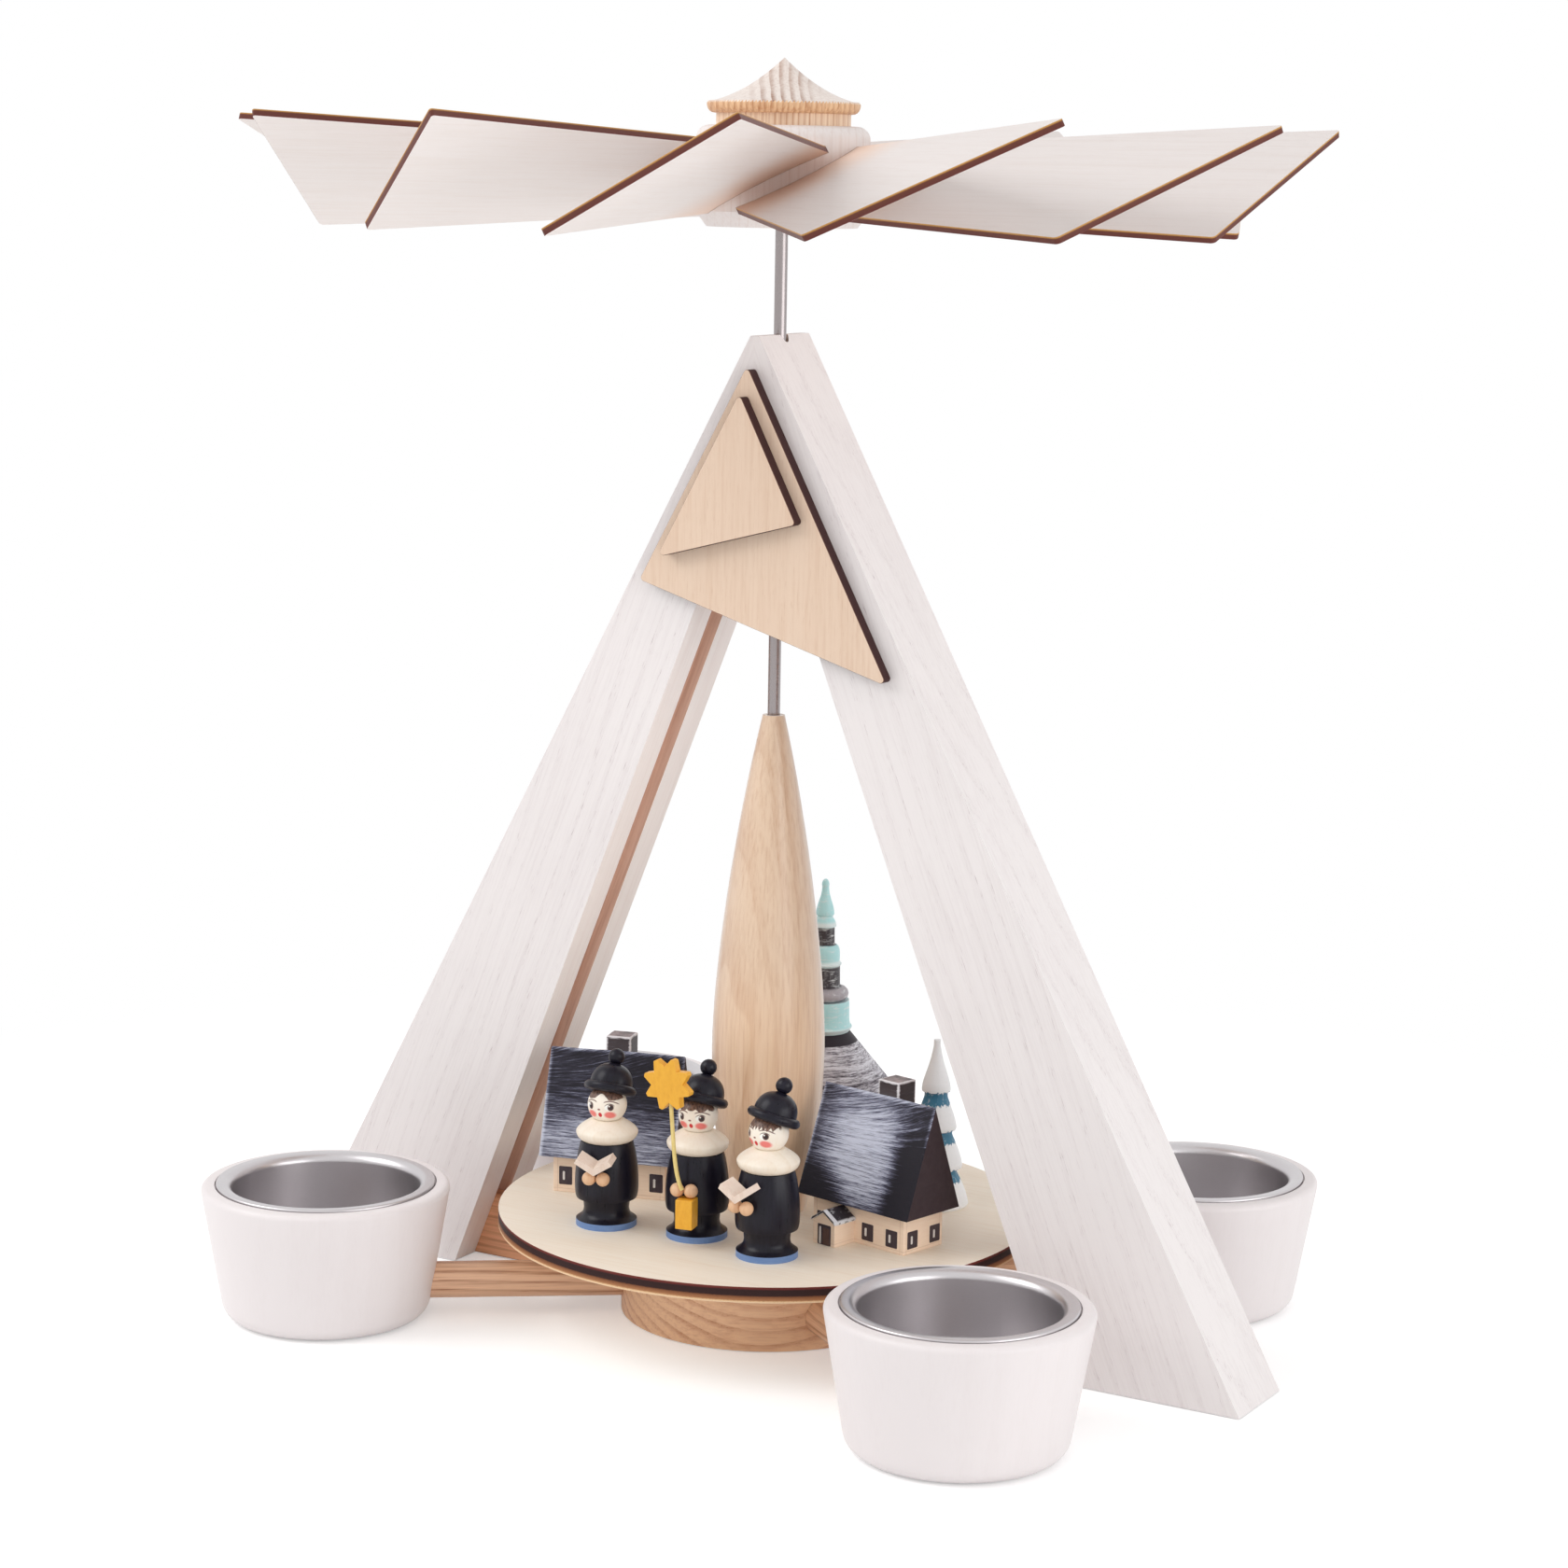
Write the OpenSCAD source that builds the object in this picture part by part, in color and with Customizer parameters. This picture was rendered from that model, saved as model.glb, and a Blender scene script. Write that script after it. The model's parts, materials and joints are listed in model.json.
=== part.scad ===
// Tealight pyramid: a fixed A-frame of two boards with four tealight cups,
// and a bladed rotor that carries a turned trunk, a disc and winter figures.
// Millimetres, +Z up, origin on the table under the rotor's axis, front at -Y.

/* [Frame] */
// Height of the ridge where the two legs meet
ridge_z = 214.7; // [180:0.1:260]
// Half-width of the small flat on the ridge
ridge_half = 1; // [0.5:0.1:3]
// Solid wood between the ridge and the point where the inner faces meet
apex_solid = 24.2; // [18:0.1:34]
// Width of a leg's foot on the table
foot_w = 42.2; // [30:0.1:60]
// Depth of the legs from front to back
leg_depth = 21.1; // [16:0.1:30]
// Width of the groove along each leg's inner face
groove_w = 5.6; // [4:0.1:8]
// Depth of that groove, measured level
groove_d = 4; // [2:0.1:6]
// Distance from the inner apex down to the groove's end
groove_stop = 20; // [12:0.5:40]
// Height of the tie boards between the hub and the legs
tie_h = 14.4; // [10:0.1:16]
// Length of a tie board inside the hub
tie_socket = 10; // [6:0.5:14]

/* [Base] */
// Radius of the round base hub
hub_r = 31.75; // [28:0.05:40]
// Height of the base hub
hub_h = 16; // [14:0.1:22]
// Rounding of the hub's top edge
hub_round = 1.5; // [0.5:0.1:3]
// Diameter of the round arms that carry the cups
arm_d = 8; // [6:0.1:9]
// Height of the arms' axes above the table
arm_z = 7.1; // [5.5:0.1:9]
// Length of an arm inside the hub
arm_hub_socket = 11; // [8:0.5:14]
// Length of an arm inside a cup
arm_cup_socket = 9; // [6:0.5:12]
// Angle between each arm and the plane of the frame
arm_angle = 36; // [30:0.5:55]
// Diameter of the steel pivot cup
pivot_d = 8; // [6:0.1:10]
// Height of the pivot cup
pivot_h = 5; // [4:0.1:7]
// Wood left under the pivot cup
pivot_floor = 5; // [3:0.1:7]
// Depth of the dimple that the shaft's tip stands in
dimple_depth = 2; // [1.5:0.1:3]

/* [Cups] */
// Height of a cup
cup_h = 29.6; // [26:0.1:36]
// Radius of a cup at its rim
cup_r = 27; // [26:0.1:32]
// Radius of a cup's cone at the table, before rounding
cup_foot_r = 22.2; // [20:0.1:25]
// Rounding of a cup's bottom edge
cup_foot_round = 4; // [1:0.1:6]
// Rounding of a cup's rim
rim_round = 1.3; // [0.5:0.1:1.5]
// Gap between the turning disc's edge and the cups' rims
cup_disc_gap = 10.6; // [6:0.1:20]
// Opening of a metal insert, for a tealight
open_d = 40.8; // [39.5:0.1:42]
// Wall thickness of an insert
insert_wall = 0.7; // [0.5:0.05:1.2]
// Depth of an insert below its flange
insert_depth = 15; // [12:0.1:16]
// Diameter of an insert's flange
flange_d = 47.6; // [45:0.1:49]
// Thickness of the flange
flange_t = 1.2; // [0.8:0.05:1.6]
// Depth of the flange's seat in the rim
seat_d = 0.8; // [0.4:0.05:1.2]
// Rounding of the insert's lip
lip_round = 0.6; // [0.3:0.05:0.65]

/* [Front plates] */
// Thickness of each front plate
plate_t = 3; // [2:0.1:4]
// Distance from the ridge down to the large plate's top corner
large_top = 6.1; // [4:0.1:12]
// Height of the large plate down to its left corner
large_left_drop = 46.9; // [30:0.1:55]
// Left corner of the large plate, out from the middle
large_left_out = 26.2; // [15:0.1:28]
// Height of the large plate down to its right corner
large_right_drop = 64.9; // [50:0.1:75]
// Right corner of the large plate, out from the middle
large_right_out = 35.1; // [25:0.1:37]
// Distance from the large plate's top corner down to the small one's
small_top = 5.6; // [4:0.1:12]
// Height of the small plate down to its left corner
small_left_drop = 35.8; // [25:0.1:36.5]
// Left corner of the small plate, out from the middle
small_left_out = 20; // [10:0.1:21]
// Height of the small plate down to its right corner
small_right_drop = 26.8; // [20:0.1:34]
// Right corner of the small plate, out from the middle
small_right_out = 14.2; // [8:0.1:16]
// Rounding of the plates' corners
plate_round = 0.8; // [0.4:0.1:1.5]

/* [Shaft and trunk] */
// Diameter of the steel shaft
shaft_d = 2.7; // [2:0.1:4]
// Half angle of the shaft's pointed tip
tip_angle = 30; // [20:1:40]
// Length of the guide bush under the ridge
bush_len = 11; // [6:0.5:14]
// Wall of the guide bush
bush_wall = 1; // [0.6:0.1:1.5]
// Height of the turned trunk
trunk_h = 110; // [80:0.5:120]
// Radius of the trunk where it stands on the disc
trunk_foot_r = 9; // [7:0.1:12]
// Largest radius of the trunk
trunk_r = 12.4; // [10:0.1:14]
// Height of the largest radius above the disc
trunk_belly_z = 36; // [25:0.5:50]
// Radius of the trunk's top end
trunk_top_r = 2.4; // [2.2:0.1:4]

/* [Disc] */
// Radius of the turning disc
disc_r = 59; // [56:0.1:64]
// Thickness of the disc
disc_t = 3.4; // [2.5:0.1:5]
// Gap between the base hub and the disc
disc_hub_gap = 3.6; // [2:0.1:6]
// Gap between the disc's edge and the legs, level with the disc's top
disc_leg_gap = 8.4; // [6:0.1:16]

/* [Wheel] */
// Gap between the ridge and the wheel hub
wheel_gap = 22.5; // [14:0.1:40]
// Height of the wheel hub
wheel_hub_h = 21.1; // [18:0.1:26]
// Largest radius of the wheel hub
wheel_hub_r = 18.4; // [17:0.1:20]
// Radius of the wheel hub's bottom
wheel_hub_foot_r = 16; // [15:0.1:17]
// Height of the bevel at the wheel hub's bottom
wheel_bevel_h = 3.2; // [1:0.1:3.4]
// Rounding of the wheel hub's shoulder
shoulder_round = 2.8; // [1:0.1:3]
// Thickness of a blade
blade_t = 1.5; // [1:0.1:2]
// Pitch of the blades
blade_pitch = 26.6; // [15:0.1:32]
// Distance from the axis to a blade's inner edge
blade_root = 9; // [8.5:0.1:11]
// Width of a blade at its inner edge
blade_root_w = 28; // [20:0.1:29]
// Reach of a blade's upper corner from the axis, along the blade
blade_reach_high = 114; // [90:0.5:125]
// Reach of a blade's lower corner from the axis, along the blade
blade_reach_low = 95; // [80:0.5:110]
// Width of a blade's tip above its middle line
blade_tip_high = 26; // [18:0.1:28]
// Width of a blade's tip below its middle line
blade_tip_low = 23; // [18:0.1:28]
// Thickness of the ring under the cap
ring_h = 2.5; // [1.5:0.1:4]
// Radius of the ring
ring_r = 14.2; // [10:0.1:15]
// Radius of the cap's rim
cap_r = 16.2; // [12:0.1:19]
// Height of the cap's rim
cap_rim_h = 2.5; // [2:0.1:5]
// Distance from the cap's rim in to its cone
cap_cone_in = 1.2; // [0.4:0.1:6]
// Height of the cap's cone
cap_cone_h = 9.1; // [6:0.1:16]
// Diameter of the spigot under the cap
spigot_d = 8; // [5:0.1:10]
// Length of the spigot inside the wheel hub
spigot_len = 5; // [3:0.1:6]
// Length of the shaft inside the wheel hub
shaft_socket = 12; // [9:0.1:13]

/* [Carolers] */
// Radius of a caroler's round foot
foot_r = 6.6; // [5:0.1:8]
// Thickness of the foot's edge
foot_h = 1.4; // [1:0.1:2]
// Radius of the skirt between the foot and the cape
skirt_r = 4.9; // [3:0.1:5.4]
// Height of the cape's lower edge above the disc
cape_z = 6.2; // [4.5:0.1:7]
// Largest radius of the cape
cape_r = 6.9; // [5.8:0.1:7.5]
// Height of the cape
cape_h = 12.5; // [10:0.1:15]
// Radius of the cape under the collar
cape_top_r = 5.6; // [4.5:0.1:5.8]
// Largest radius of the collar
collar_r = 6.7; // [5.8:0.1:7.5]
// Height of the collar
collar_h = 4.8; // [4:0.1:6.5]
// Radius of the head
head_r = 4.25; // [3.6:0.05:5]
// Depth of the head in the collar
head_sink = 1; // [0.2:0.1:1.4]
// Radius of the hat's brim
brim_r = 5.8; // [5.2:0.1:6.5]
// Thickness of the brim
brim_h = 2.1; // [1.2:0.1:2.4]
// Height of the hat's crown above the brim
crown_h = 4.5; // [3.5:0.1:6.5]
// Wall of the hat's crown
crown_wall = 0.4; // [0.3:0.05:0.9]
// Lean of the hat towards the back
hat_lean = 21; // [0:1:25]
// Turn of that lean to the singer's left
hat_turn = 15; // [0:1:30]
// Radius of the pompom
pompom_r = 1.8; // [1.2:0.1:2.2]
// Radius of a hand
hand_r = 1.5; // [1:0.1:2]
// Height of the hands above the disc
hand_z = 12.2; // [9:0.1:14]
// Length of one leaf of a song book
leaf_len = 5; // [3:0.1:6.5]
// Height of a song book along its spine
leaf_w = 4; // [3:0.1:6]
// Thickness of one leaf of a song book
leaf_t = 1.4; // [0.8:0.1:1.6]
// Rise of each leaf from level
leaf_rise = 33; // [15:1:45]
// Lean of the song book's spine, outer end down
book_lean = 12; // [0:1:30]
// Outer radius of the star
star_r = 5.7; // [4.8:0.1:6.5]
// Inner radius of the star
star_in_r = 3.9; // [2.5:0.1:4.6]
// Width of the blunt end of a star's point
star_tip_w = 0.8; // [0.6:0.1:1.4]
// Thickness of the star
star_t = 2; // [1:0.1:3]
// Number of the star's points
star_points = 8; // [5:1:12]
// Diameter of the star's stick
stick_d = 0.8; // [0.5:0.1:1.2]
// Height of the star's middle above the hands
star_rise = 23.5; // [16:0.5:26]
// Lean of the star's stick to the singer's right
star_lean = 8; // [0:1:12]
// Turn of the star to the singer's right
star_turn = 11; // [0:1:30]
// Width of the lantern
lantern_w = 3.8; // [3:0.1:5]
// Height of the lantern
lantern_h = 6.4; // [4:0.1:7]

/* [Houses] */
// Length of a house
house_len = 26; // [20:0.1:30]
// Width of a house
house_w = 12.5; // [10:0.1:15]
// Height of a house's walls
house_wall_h = 8.4; // [7.5:0.1:11]
// Overhang of the roof at each gable
gable_over = 2.75; // [1:0.05:3.5]
// Overhang of the roof at each eave
eave_over = 2.35; // [1:0.05:3.5]
// Height of the roof
roof_h = 23.4; // [16:0.1:26]
// Width of a chimney along the ridge
chimney_w = 5.8; // [3.5:0.1:7]
// Width of a chimney across the ridge
chimney_d = 5.6; // [3:0.1:6.2]
// Height of a chimney above the ridge
chimney_rise = 3.2; // [2:0.1:5]
// Width of the porch
porch_w = 6.2; // [4.5:0.1:8]
// Distance from the middle of the front wall to the porch
porch_shift = 1; // [0:0.1:4]
// Depth of the porch
porch_d = 6.3; // [4:0.1:8]
// Height of the porch's walls
porch_h = 5.2; // [4:0.1:5.4]
// Rise of the porch's gable
porch_rise = 2; // [1.5:0.1:2.1]
// Thickness of the porch's roof
porch_roof_t = 0.6; // [0.4:0.05:0.7]
// Overhang of the porch's roof
porch_over = 0.5; // [0.2:0.05:0.8]

/* [Church and tree] */
// Radius of the church's walls
church_r = 13; // [10:0.1:14]
// Height of the church's walls
church_wall_h = 20; // [12:0.1:22]
// Radius of the church's roof at its eave
church_roof_r = 16.4; // [14.5:0.1:17]
// Height of the church's roof
church_roof_h = 12.7; // [10:0.1:18]
// Radius of the top of the church's roof
church_roof_top_r = 6.1; // [5:0.1:6.6]
// Height of the church's tower above its roof
tower_h = 35.2; // [28:0.1:38]
// Radius of the tower's bell-shaped foot
tower_r = 6.6; // [5.5:0.1:7]
// Height of the tree
tree_h = 37.4; // [28:0.1:44]
// Radius of the tree's lowest tier
tree_r = 7.7; // [5:0.1:9]
// Number of the tree's tiers
tree_tiers = 4; // [3:1:6]

/* [Places on the disc] */
// Left caroler: distance in from the disc's edge
left_caroler_in = 21.3; // [18:0.1:26]
// Left caroler: angle on the disc
left_caroler_at = 234.1; // [228:0.1:240]
// Left caroler: facing angle
left_caroler_face = 287; // [250:1:310]
// Middle caroler: distance in from the disc's edge
middle_caroler_in = 31.7; // [30:0.1:33]
// Middle caroler: angle on the disc
middle_caroler_at = 267.8; // [264:0.1:272]
// Middle caroler: facing angle
middle_caroler_face = 282; // [250:1:300]
// Right caroler: distance in from the disc's edge
right_caroler_in = 22.4; // [18:0.1:24]
// Right caroler: angle on the disc
right_caroler_at = 301.1; // [297:0.1:306]
// Right caroler: facing angle
right_caroler_face = 259; // [240:1:290]
// Left house: distance in from the disc's edge
left_house_in = 23.5; // [22:0.1:26]
// Left house: angle on the disc
left_house_at = 190.9; // [186:0.1:194]
// Left house: turn of its ridge
left_house_turn = 15.6; // [8:0.1:22]
// Right house: distance in from the disc's edge
right_house_in = 26.1; // [25:0.1:28]
// Right house: angle on the disc
right_house_at = 347.5; // [345:0.1:350]
// Right house: turn of its ridge
right_house_turn = -12.7; // [-18:0.1:-8]
// Church: distance in from the disc's edge
church_in = 25.6; // [24:0.1:27]
// Church: angle on the disc
church_at = 98.6; // [92:0.1:110]
// Tree: distance in from the disc's edge
tree_in = 21.4; // [18:0.1:23]
// Tree: angle on the disc
tree_at = 37; // [34:0.1:44]

/* [Fits] */
// Radial gap of a glued round joint
glue_gap = 0.05; // [0.02:0.01:0.1]
// Radial running clearance of the shaft in its bush
run_gap = 0.06; // [0.03:0.01:0.1]
// Radial clearance of the shaft in plain wood
free_gap = 0.5; // [0.3:0.05:1]
// Gap under the shaft's tip
tip_gap = 0.12; // [0.05:0.01:0.3]
// Clearance of a lift-out insert in its cup
insert_gap = 0.3; // [0.2:0.05:0.5]
// Gap under an insert's flange
seat_gap = 0.1; // [0.05:0.05:0.3]

/* [Hidden] */
$fn = 96;
// Cutters run this far past the faces that they open
past = 1;
// Steps along a rounded corner of an outline
corner_steps = 6;
// Steps along a long curve of an outline
curve_steps = 16;

blade_count = 12;
blade_step = 360 / blade_count;
blade_first = blade_step / 2;
singers = ["left", "middle", "right"];
houses = ["left", "right"];
arm_names = ["front_right", "back_right", "back_left", "front_left"];
arm_angles = [-arm_angle, arm_angle, 180 - arm_angle, 180 + arm_angle];

ash = [0.90, 0.88, 0.87];
oak = [0.72, 0.50, 0.34];
maple = [0.87, 0.74, 0.56];
birch = [0.93, 0.87, 0.77];
steel = [0.62, 0.62, 0.63];
ebony = [0.14, 0.13, 0.15];
cream = [0.94, 0.88, 0.80];
gold = [0.92, 0.66, 0.18];
mint = [0.56, 0.80, 0.74];
slate = [0.24, 0.22, 0.26];
snow = [0.88, 0.91, 0.93];

// Levels and radii that the pieces share
disc_top = hub_h + disc_hub_gap + disc_t;
in_apex = ridge_z - apex_solid;
groove_top = in_apex - groove_stop;
large_top_z = ridge_z - large_top;
tie_t = groove_w - 2 * glue_gap;
shaft_r = shaft_d / 2;
tip_z = pivot_floor + pivot_h - dimple_depth + tip_gap;
bush_in_r = shaft_r + run_gap;
bush_r = bush_in_r + bush_wall;
bush_z = in_apex + past;
cup_ring = disc_r + cup_disc_gap + cup_r;
seat_z = cup_h - seat_d;
open_r = open_d / 2;
insert_r = open_r + insert_wall;
cup_bore_r = insert_r + insert_gap;
flange_r = flange_d / 2;
wheel_z = ridge_z + wheel_gap;
blade_z = wheel_z + wheel_hub_h * 0.465;
ring_z = wheel_z + wheel_hub_h;
cap_z = ring_z + ring_h;
cap_cone_r = cap_r - cap_cone_in;
spigot_r = spigot_d / 2;
collar_z = cape_z + cape_h;
head_z = collar_z + collar_h + head_r - head_sink;
hand_x = cape_r + hand_r + glue_gap;
roof_len = house_len + 2 * gable_over;
roof_w = house_w + 2 * eave_over;
porch_x = -porch_w - porch_shift;

// Half-width of the opening between the legs at height z
function inner_x(z) = (disc_r + disc_leg_gap) * (in_apex - z) / (in_apex - disc_top);
// Radius of a cup's cone at height z
function cup_side_r(z) = cup_foot_r + (cup_r - cup_foot_r) * z / cup_h;
// Points of an arc about c
function arc(c, r, a0, a1, n = corner_steps) =
    [for (i = [0 : n]) let (a = a0 + (a1 - a0) * i / n) c + r * [cos(a), sin(a)]];
// Points of a cubic curve between a and d, drawn towards b and c
function curve(a, b, c, d, n = curve_steps) =
    [for (i = [0 : n]) let (t = i / n, s = 1 - t)
        s * s * s * a + 3 * s * s * t * b + 3 * s * t * t * c + t * t * t * d];

module turned(points) {
    rotate_extrude() polygon(points);
}

// A slab of thickness t about the plane y = 0, drawn as x and z
module board(points, t) {
    rotate([90, 0, 0]) linear_extrude(t, center = true) polygon(points);
}

module on_arm(i) {
    rotate([0, 0, arm_angles[i]]) children();
}

module at_cup(i) {
    on_arm(i) translate([cup_ring, 0, 0]) children();
}

// Base

module arm_stick(i, grow) {
    start = hub_r - arm_hub_socket - grow;
    end = cup_ring - cup_side_r(arm_z) + arm_cup_socket + grow;
    on_arm(i) translate([start, 0, arm_z]) rotate([0, 90, 0])
        cylinder(h = end - start, r = arm_d / 2 + grow);
}

module base_hub() {
    color(oak) difference() {
        turned(concat(
            [[0, 0], [hub_r, 0]],
            arc([hub_r - hub_round, hub_h - hub_round], hub_round, 0, 90),
            [[0, hub_h]]
        ));
        translate([0, 0, pivot_floor]) cylinder(h = hub_h, r = pivot_d / 2 + glue_gap);
        for (side = [0, 180])
            rotate([0, 0, side]) translate([hub_r - tie_socket - glue_gap, -groove_w / 2, -past])
                cube([tie_socket + past + glue_gap, groove_w, hub_h + 2 * past]);
        for (i = [0 : len(arm_names) - 1]) arm_stick(i, glue_gap);
    }
}

module pivot_cup() {
    color(steel) translate([0, 0, pivot_floor]) difference() {
        cylinder(h = pivot_h, r = pivot_d / 2);
        translate([0, 0, pivot_h - dimple_depth])
            cylinder(h = dimple_depth + past, r1 = 0, r2 = dimple_depth + past);
    }
}

module arm(i) {
    color(oak) arm_stick(i, 0);
}

module tie() {
    start = hub_r - tie_socket;
    seat = groove_d - glue_gap;
    color(oak) board([
        [start, 0], [inner_x(0) + seat, 0], [inner_x(tie_h) + seat, tie_h], [start, tie_h]
    ], tie_t);
}

// Legs and front plates

module shaft_way() {
    cylinder(h = ridge_z + past, r = shaft_r + free_gap);
    translate([0, 0, bush_z]) cylinder(h = bush_len, r = bush_r + glue_gap);
}

module leg() {
    color(ash) difference() {
        board([
            [inner_x(0), 0], [inner_x(0) + foot_w, 0], [ridge_half, ridge_z], [0, ridge_z], [0, in_apex]
        ], leg_depth);
        board([
            [inner_x(-past) - past, -past], [inner_x(-past) + groove_d, -past],
            [inner_x(groove_top) + groove_d, groove_top], [inner_x(groove_top) - past, groove_top]
        ], groove_w);
        shaft_way();
    }
}

module guide_bush() {
    color(steel) translate([0, 0, bush_z]) difference() {
        cylinder(h = bush_len, r = bush_r);
        translate([0, 0, -past]) cylinder(h = bush_len + 2 * past, r = bush_in_r);
    }
}

// A triangle with rounded corners; its outline stays inside the three points
module rounded_triangle(points, r) {
    hull() for (i = [0 : 2]) {
        p = points[i];
        u = (points[(i + 1) % 3] - p) / norm(points[(i + 1) % 3] - p);
        v = (points[(i + 2) % 3] - p) / norm(points[(i + 2) % 3] - p);
        // Distance from the corner to the rounding's centre, along the bisector
        reach = r / sqrt((1 - u * v) / 2);
        translate(p + (u + v) / norm(u + v) * reach) circle(r = r, $fn = 24);
    }
}

module plate(layer, top, left_out, left_drop, right_out, right_drop) {
    front = -leg_depth / 2 - layer * plate_t;
    corners = [[0, top], [-left_out, top - left_drop], [right_out, top - right_drop]];
    color(birch) translate([0, front, 0]) rotate([90, 0, 0]) linear_extrude(plate_t)
        rounded_triangle(corners, plate_round);
}

module plate_large() {
    plate(0, large_top_z, large_left_out, large_left_drop, large_right_out, large_right_drop);
}

module plate_small() {
    plate(1, large_top_z - small_top, small_left_out, small_left_drop, small_right_out, small_right_drop);
}

// Cups and inserts

module cup(i) {
    lean = atan((cup_r - cup_foot_r) / cup_h);
    foot_x = cup_foot_r - cup_foot_round * tan(45 - lean / 2);
    color(ash) difference() {
        at_cup(i) difference() {
            turned(concat(
                [[0, 0]],
                arc([foot_x, cup_foot_round], cup_foot_round, -90, -lean),
                arc([cup_r - rim_round, cup_h - rim_round], rim_round, -lean, 90),
                [[0, cup_h]]
            ));
            translate([0, 0, seat_z - insert_depth - insert_gap]) cylinder(h = cup_h, r = cup_bore_r);
            translate([0, 0, seat_z]) cylinder(h = cup_h, r = flange_r + insert_gap);
        }
        arm_stick(i, glue_gap);
    }
}

module insert(i) {
    flange_z = seat_z + seat_gap;
    foot_z = seat_z - insert_depth;
    top_z = flange_z + flange_t;
    lip = lip_round;
    color(steel) at_cup(i) difference() {
        turned(concat(
            [[0, foot_z], [insert_r, foot_z], [insert_r, flange_z], [flange_r, flange_z]],
            arc([flange_r - lip, top_z - lip], lip, 0, 90),
            arc([open_r + lip, top_z - lip], lip, 90, 180),
            [[open_r, flange_z], [0, flange_z]]
        ));
        translate([0, 0, foot_z + insert_wall]) cylinder(h = cup_h, r = open_r);
    }
}

// Rotor: shaft, trunk and disc

module shaft() {
    tip_len = shaft_r / tan(tip_angle);
    top_z = wheel_z + shaft_socket;
    color(steel) turned([[0, tip_z], [shaft_r, tip_z + tip_len], [shaft_r, top_z], [0, top_z]]);
}

module trunk() {
    belly = [trunk_r, trunk_belly_z];
    rise = trunk_h - trunk_belly_z;
    color(maple) translate([0, 0, disc_top]) difference() {
        turned(concat(
            [[0, 0]],
            curve([trunk_foot_r, 0], [trunk_foot_r + (trunk_r - trunk_foot_r) * 0.6, trunk_belly_z * 0.35],
                [trunk_r, trunk_belly_z * 0.7], belly),
            curve(belly, belly + [0, rise * 0.23], [trunk_r * 0.66, trunk_belly_z + rise * 0.66],
                [trunk_top_r, trunk_h]),
            [[0, trunk_h]]
        ));
        translate([0, 0, -past]) cylinder(h = trunk_h + 2 * past, r = shaft_r + glue_gap);
    }
}

module disc() {
    color(birch) translate([0, 0, disc_top - disc_t]) difference() {
        cylinder(h = disc_t, r = disc_r);
        translate([0, 0, -past]) cylinder(h = disc_t + 2 * past, r = shaft_r + glue_gap);
    }
}

// Rotor: wheel

module blade_plate(i, grow) {
    rotate([0, 0, blade_first + i * blade_step]) translate([0, 0, blade_z]) rotate([blade_pitch, 0, 0])
        linear_extrude(blade_t + 2 * grow, center = true) polygon([
            [blade_root - grow, -blade_root_w / 2 - grow], [blade_reach_low, -blade_tip_low - grow],
            [blade_reach_high, blade_tip_high + grow], [blade_root - grow, blade_root_w / 2 + grow]
        ]);
}

module blade(i) {
    color(birch) blade_plate(i, 0);
}

module wheel_hub() {
    r = shoulder_round;
    color(ash) difference() {
        translate([0, 0, wheel_z]) difference() {
            turned(concat(
                [[0, 0], [wheel_hub_foot_r, 0], [wheel_hub_r, wheel_bevel_h]],
                arc([wheel_hub_r - r, wheel_hub_h - r], r, 0, 90),
                [[0, wheel_hub_h]]
            ));
            translate([0, 0, -past]) cylinder(h = shaft_socket + past + glue_gap, r = shaft_r + glue_gap);
            translate([0, 0, wheel_hub_h - spigot_len - glue_gap])
                cylinder(h = wheel_hub_h, r = spigot_r + glue_gap);
        }
        for (i = [0 : blade_count - 1]) blade_plate(i, glue_gap);
    }
}

module wheel_ring() {
    color(maple) translate([0, 0, ring_z]) difference() {
        cylinder(h = ring_h, r = ring_r);
        translate([0, 0, -past]) cylinder(h = ring_h + 2 * past, r = spigot_r + glue_gap);
    }
}

module wheel_cap() {
    tip = [0, cap_rim_h + cap_cone_h];
    color(maple) translate([0, 0, cap_z]) {
        turned(concat(
            [[0, -ring_h - spigot_len], [spigot_r, -ring_h - spigot_len], [spigot_r, 0]],
            curve([cap_r * 0.9, 0], [cap_r * 0.97, 0], [cap_r, cap_rim_h * 0.4],
                [cap_r, cap_rim_h * 0.8], corner_steps),
            [[cap_r * 0.98, cap_rim_h]],
            curve([cap_cone_r, cap_rim_h], [cap_cone_r * 0.62, cap_rim_h + cap_cone_h * 0.16],
                [cap_cone_r * 0.3, cap_rim_h + cap_cone_h * 0.53], tip)
        ));
    }
}

// Rotor: figures

module on_disc(inset, angle, turn) {
    rotate([0, 0, angle]) translate([disc_r - inset, 0, disc_top]) rotate([0, 0, turn - angle]) children();
}

module at_caroler(n) {
    if (n == "left") on_disc(left_caroler_in, left_caroler_at, left_caroler_face) children();
    if (n == "middle") on_disc(middle_caroler_in, middle_caroler_at, middle_caroler_face) children();
    if (n == "right") on_disc(right_caroler_in, right_caroler_at, right_caroler_face) children();
}

// A caroler stands at the origin and faces +X
module caroler_body(n) {
    color(ebony) at_caroler(n) turned(concat(
        [[0, 0], [foot_r, 0], [foot_r, foot_h]],
        curve([foot_r, foot_h], [foot_r * 0.86, foot_h * 1.5], [skirt_r * 1.02, foot_h * 1.6],
            [skirt_r, (foot_h + cape_z) / 2], corner_steps),
        [[skirt_r * 1.05, cape_z]],
        curve([cape_r * 0.95, cape_z], [cape_r * 1.05, cape_z + cape_h * 0.1],
            [cape_r, cape_z + cape_h * 0.7], [cape_top_r, collar_z]),
        [[0, collar_z]]
    ));
}

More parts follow.
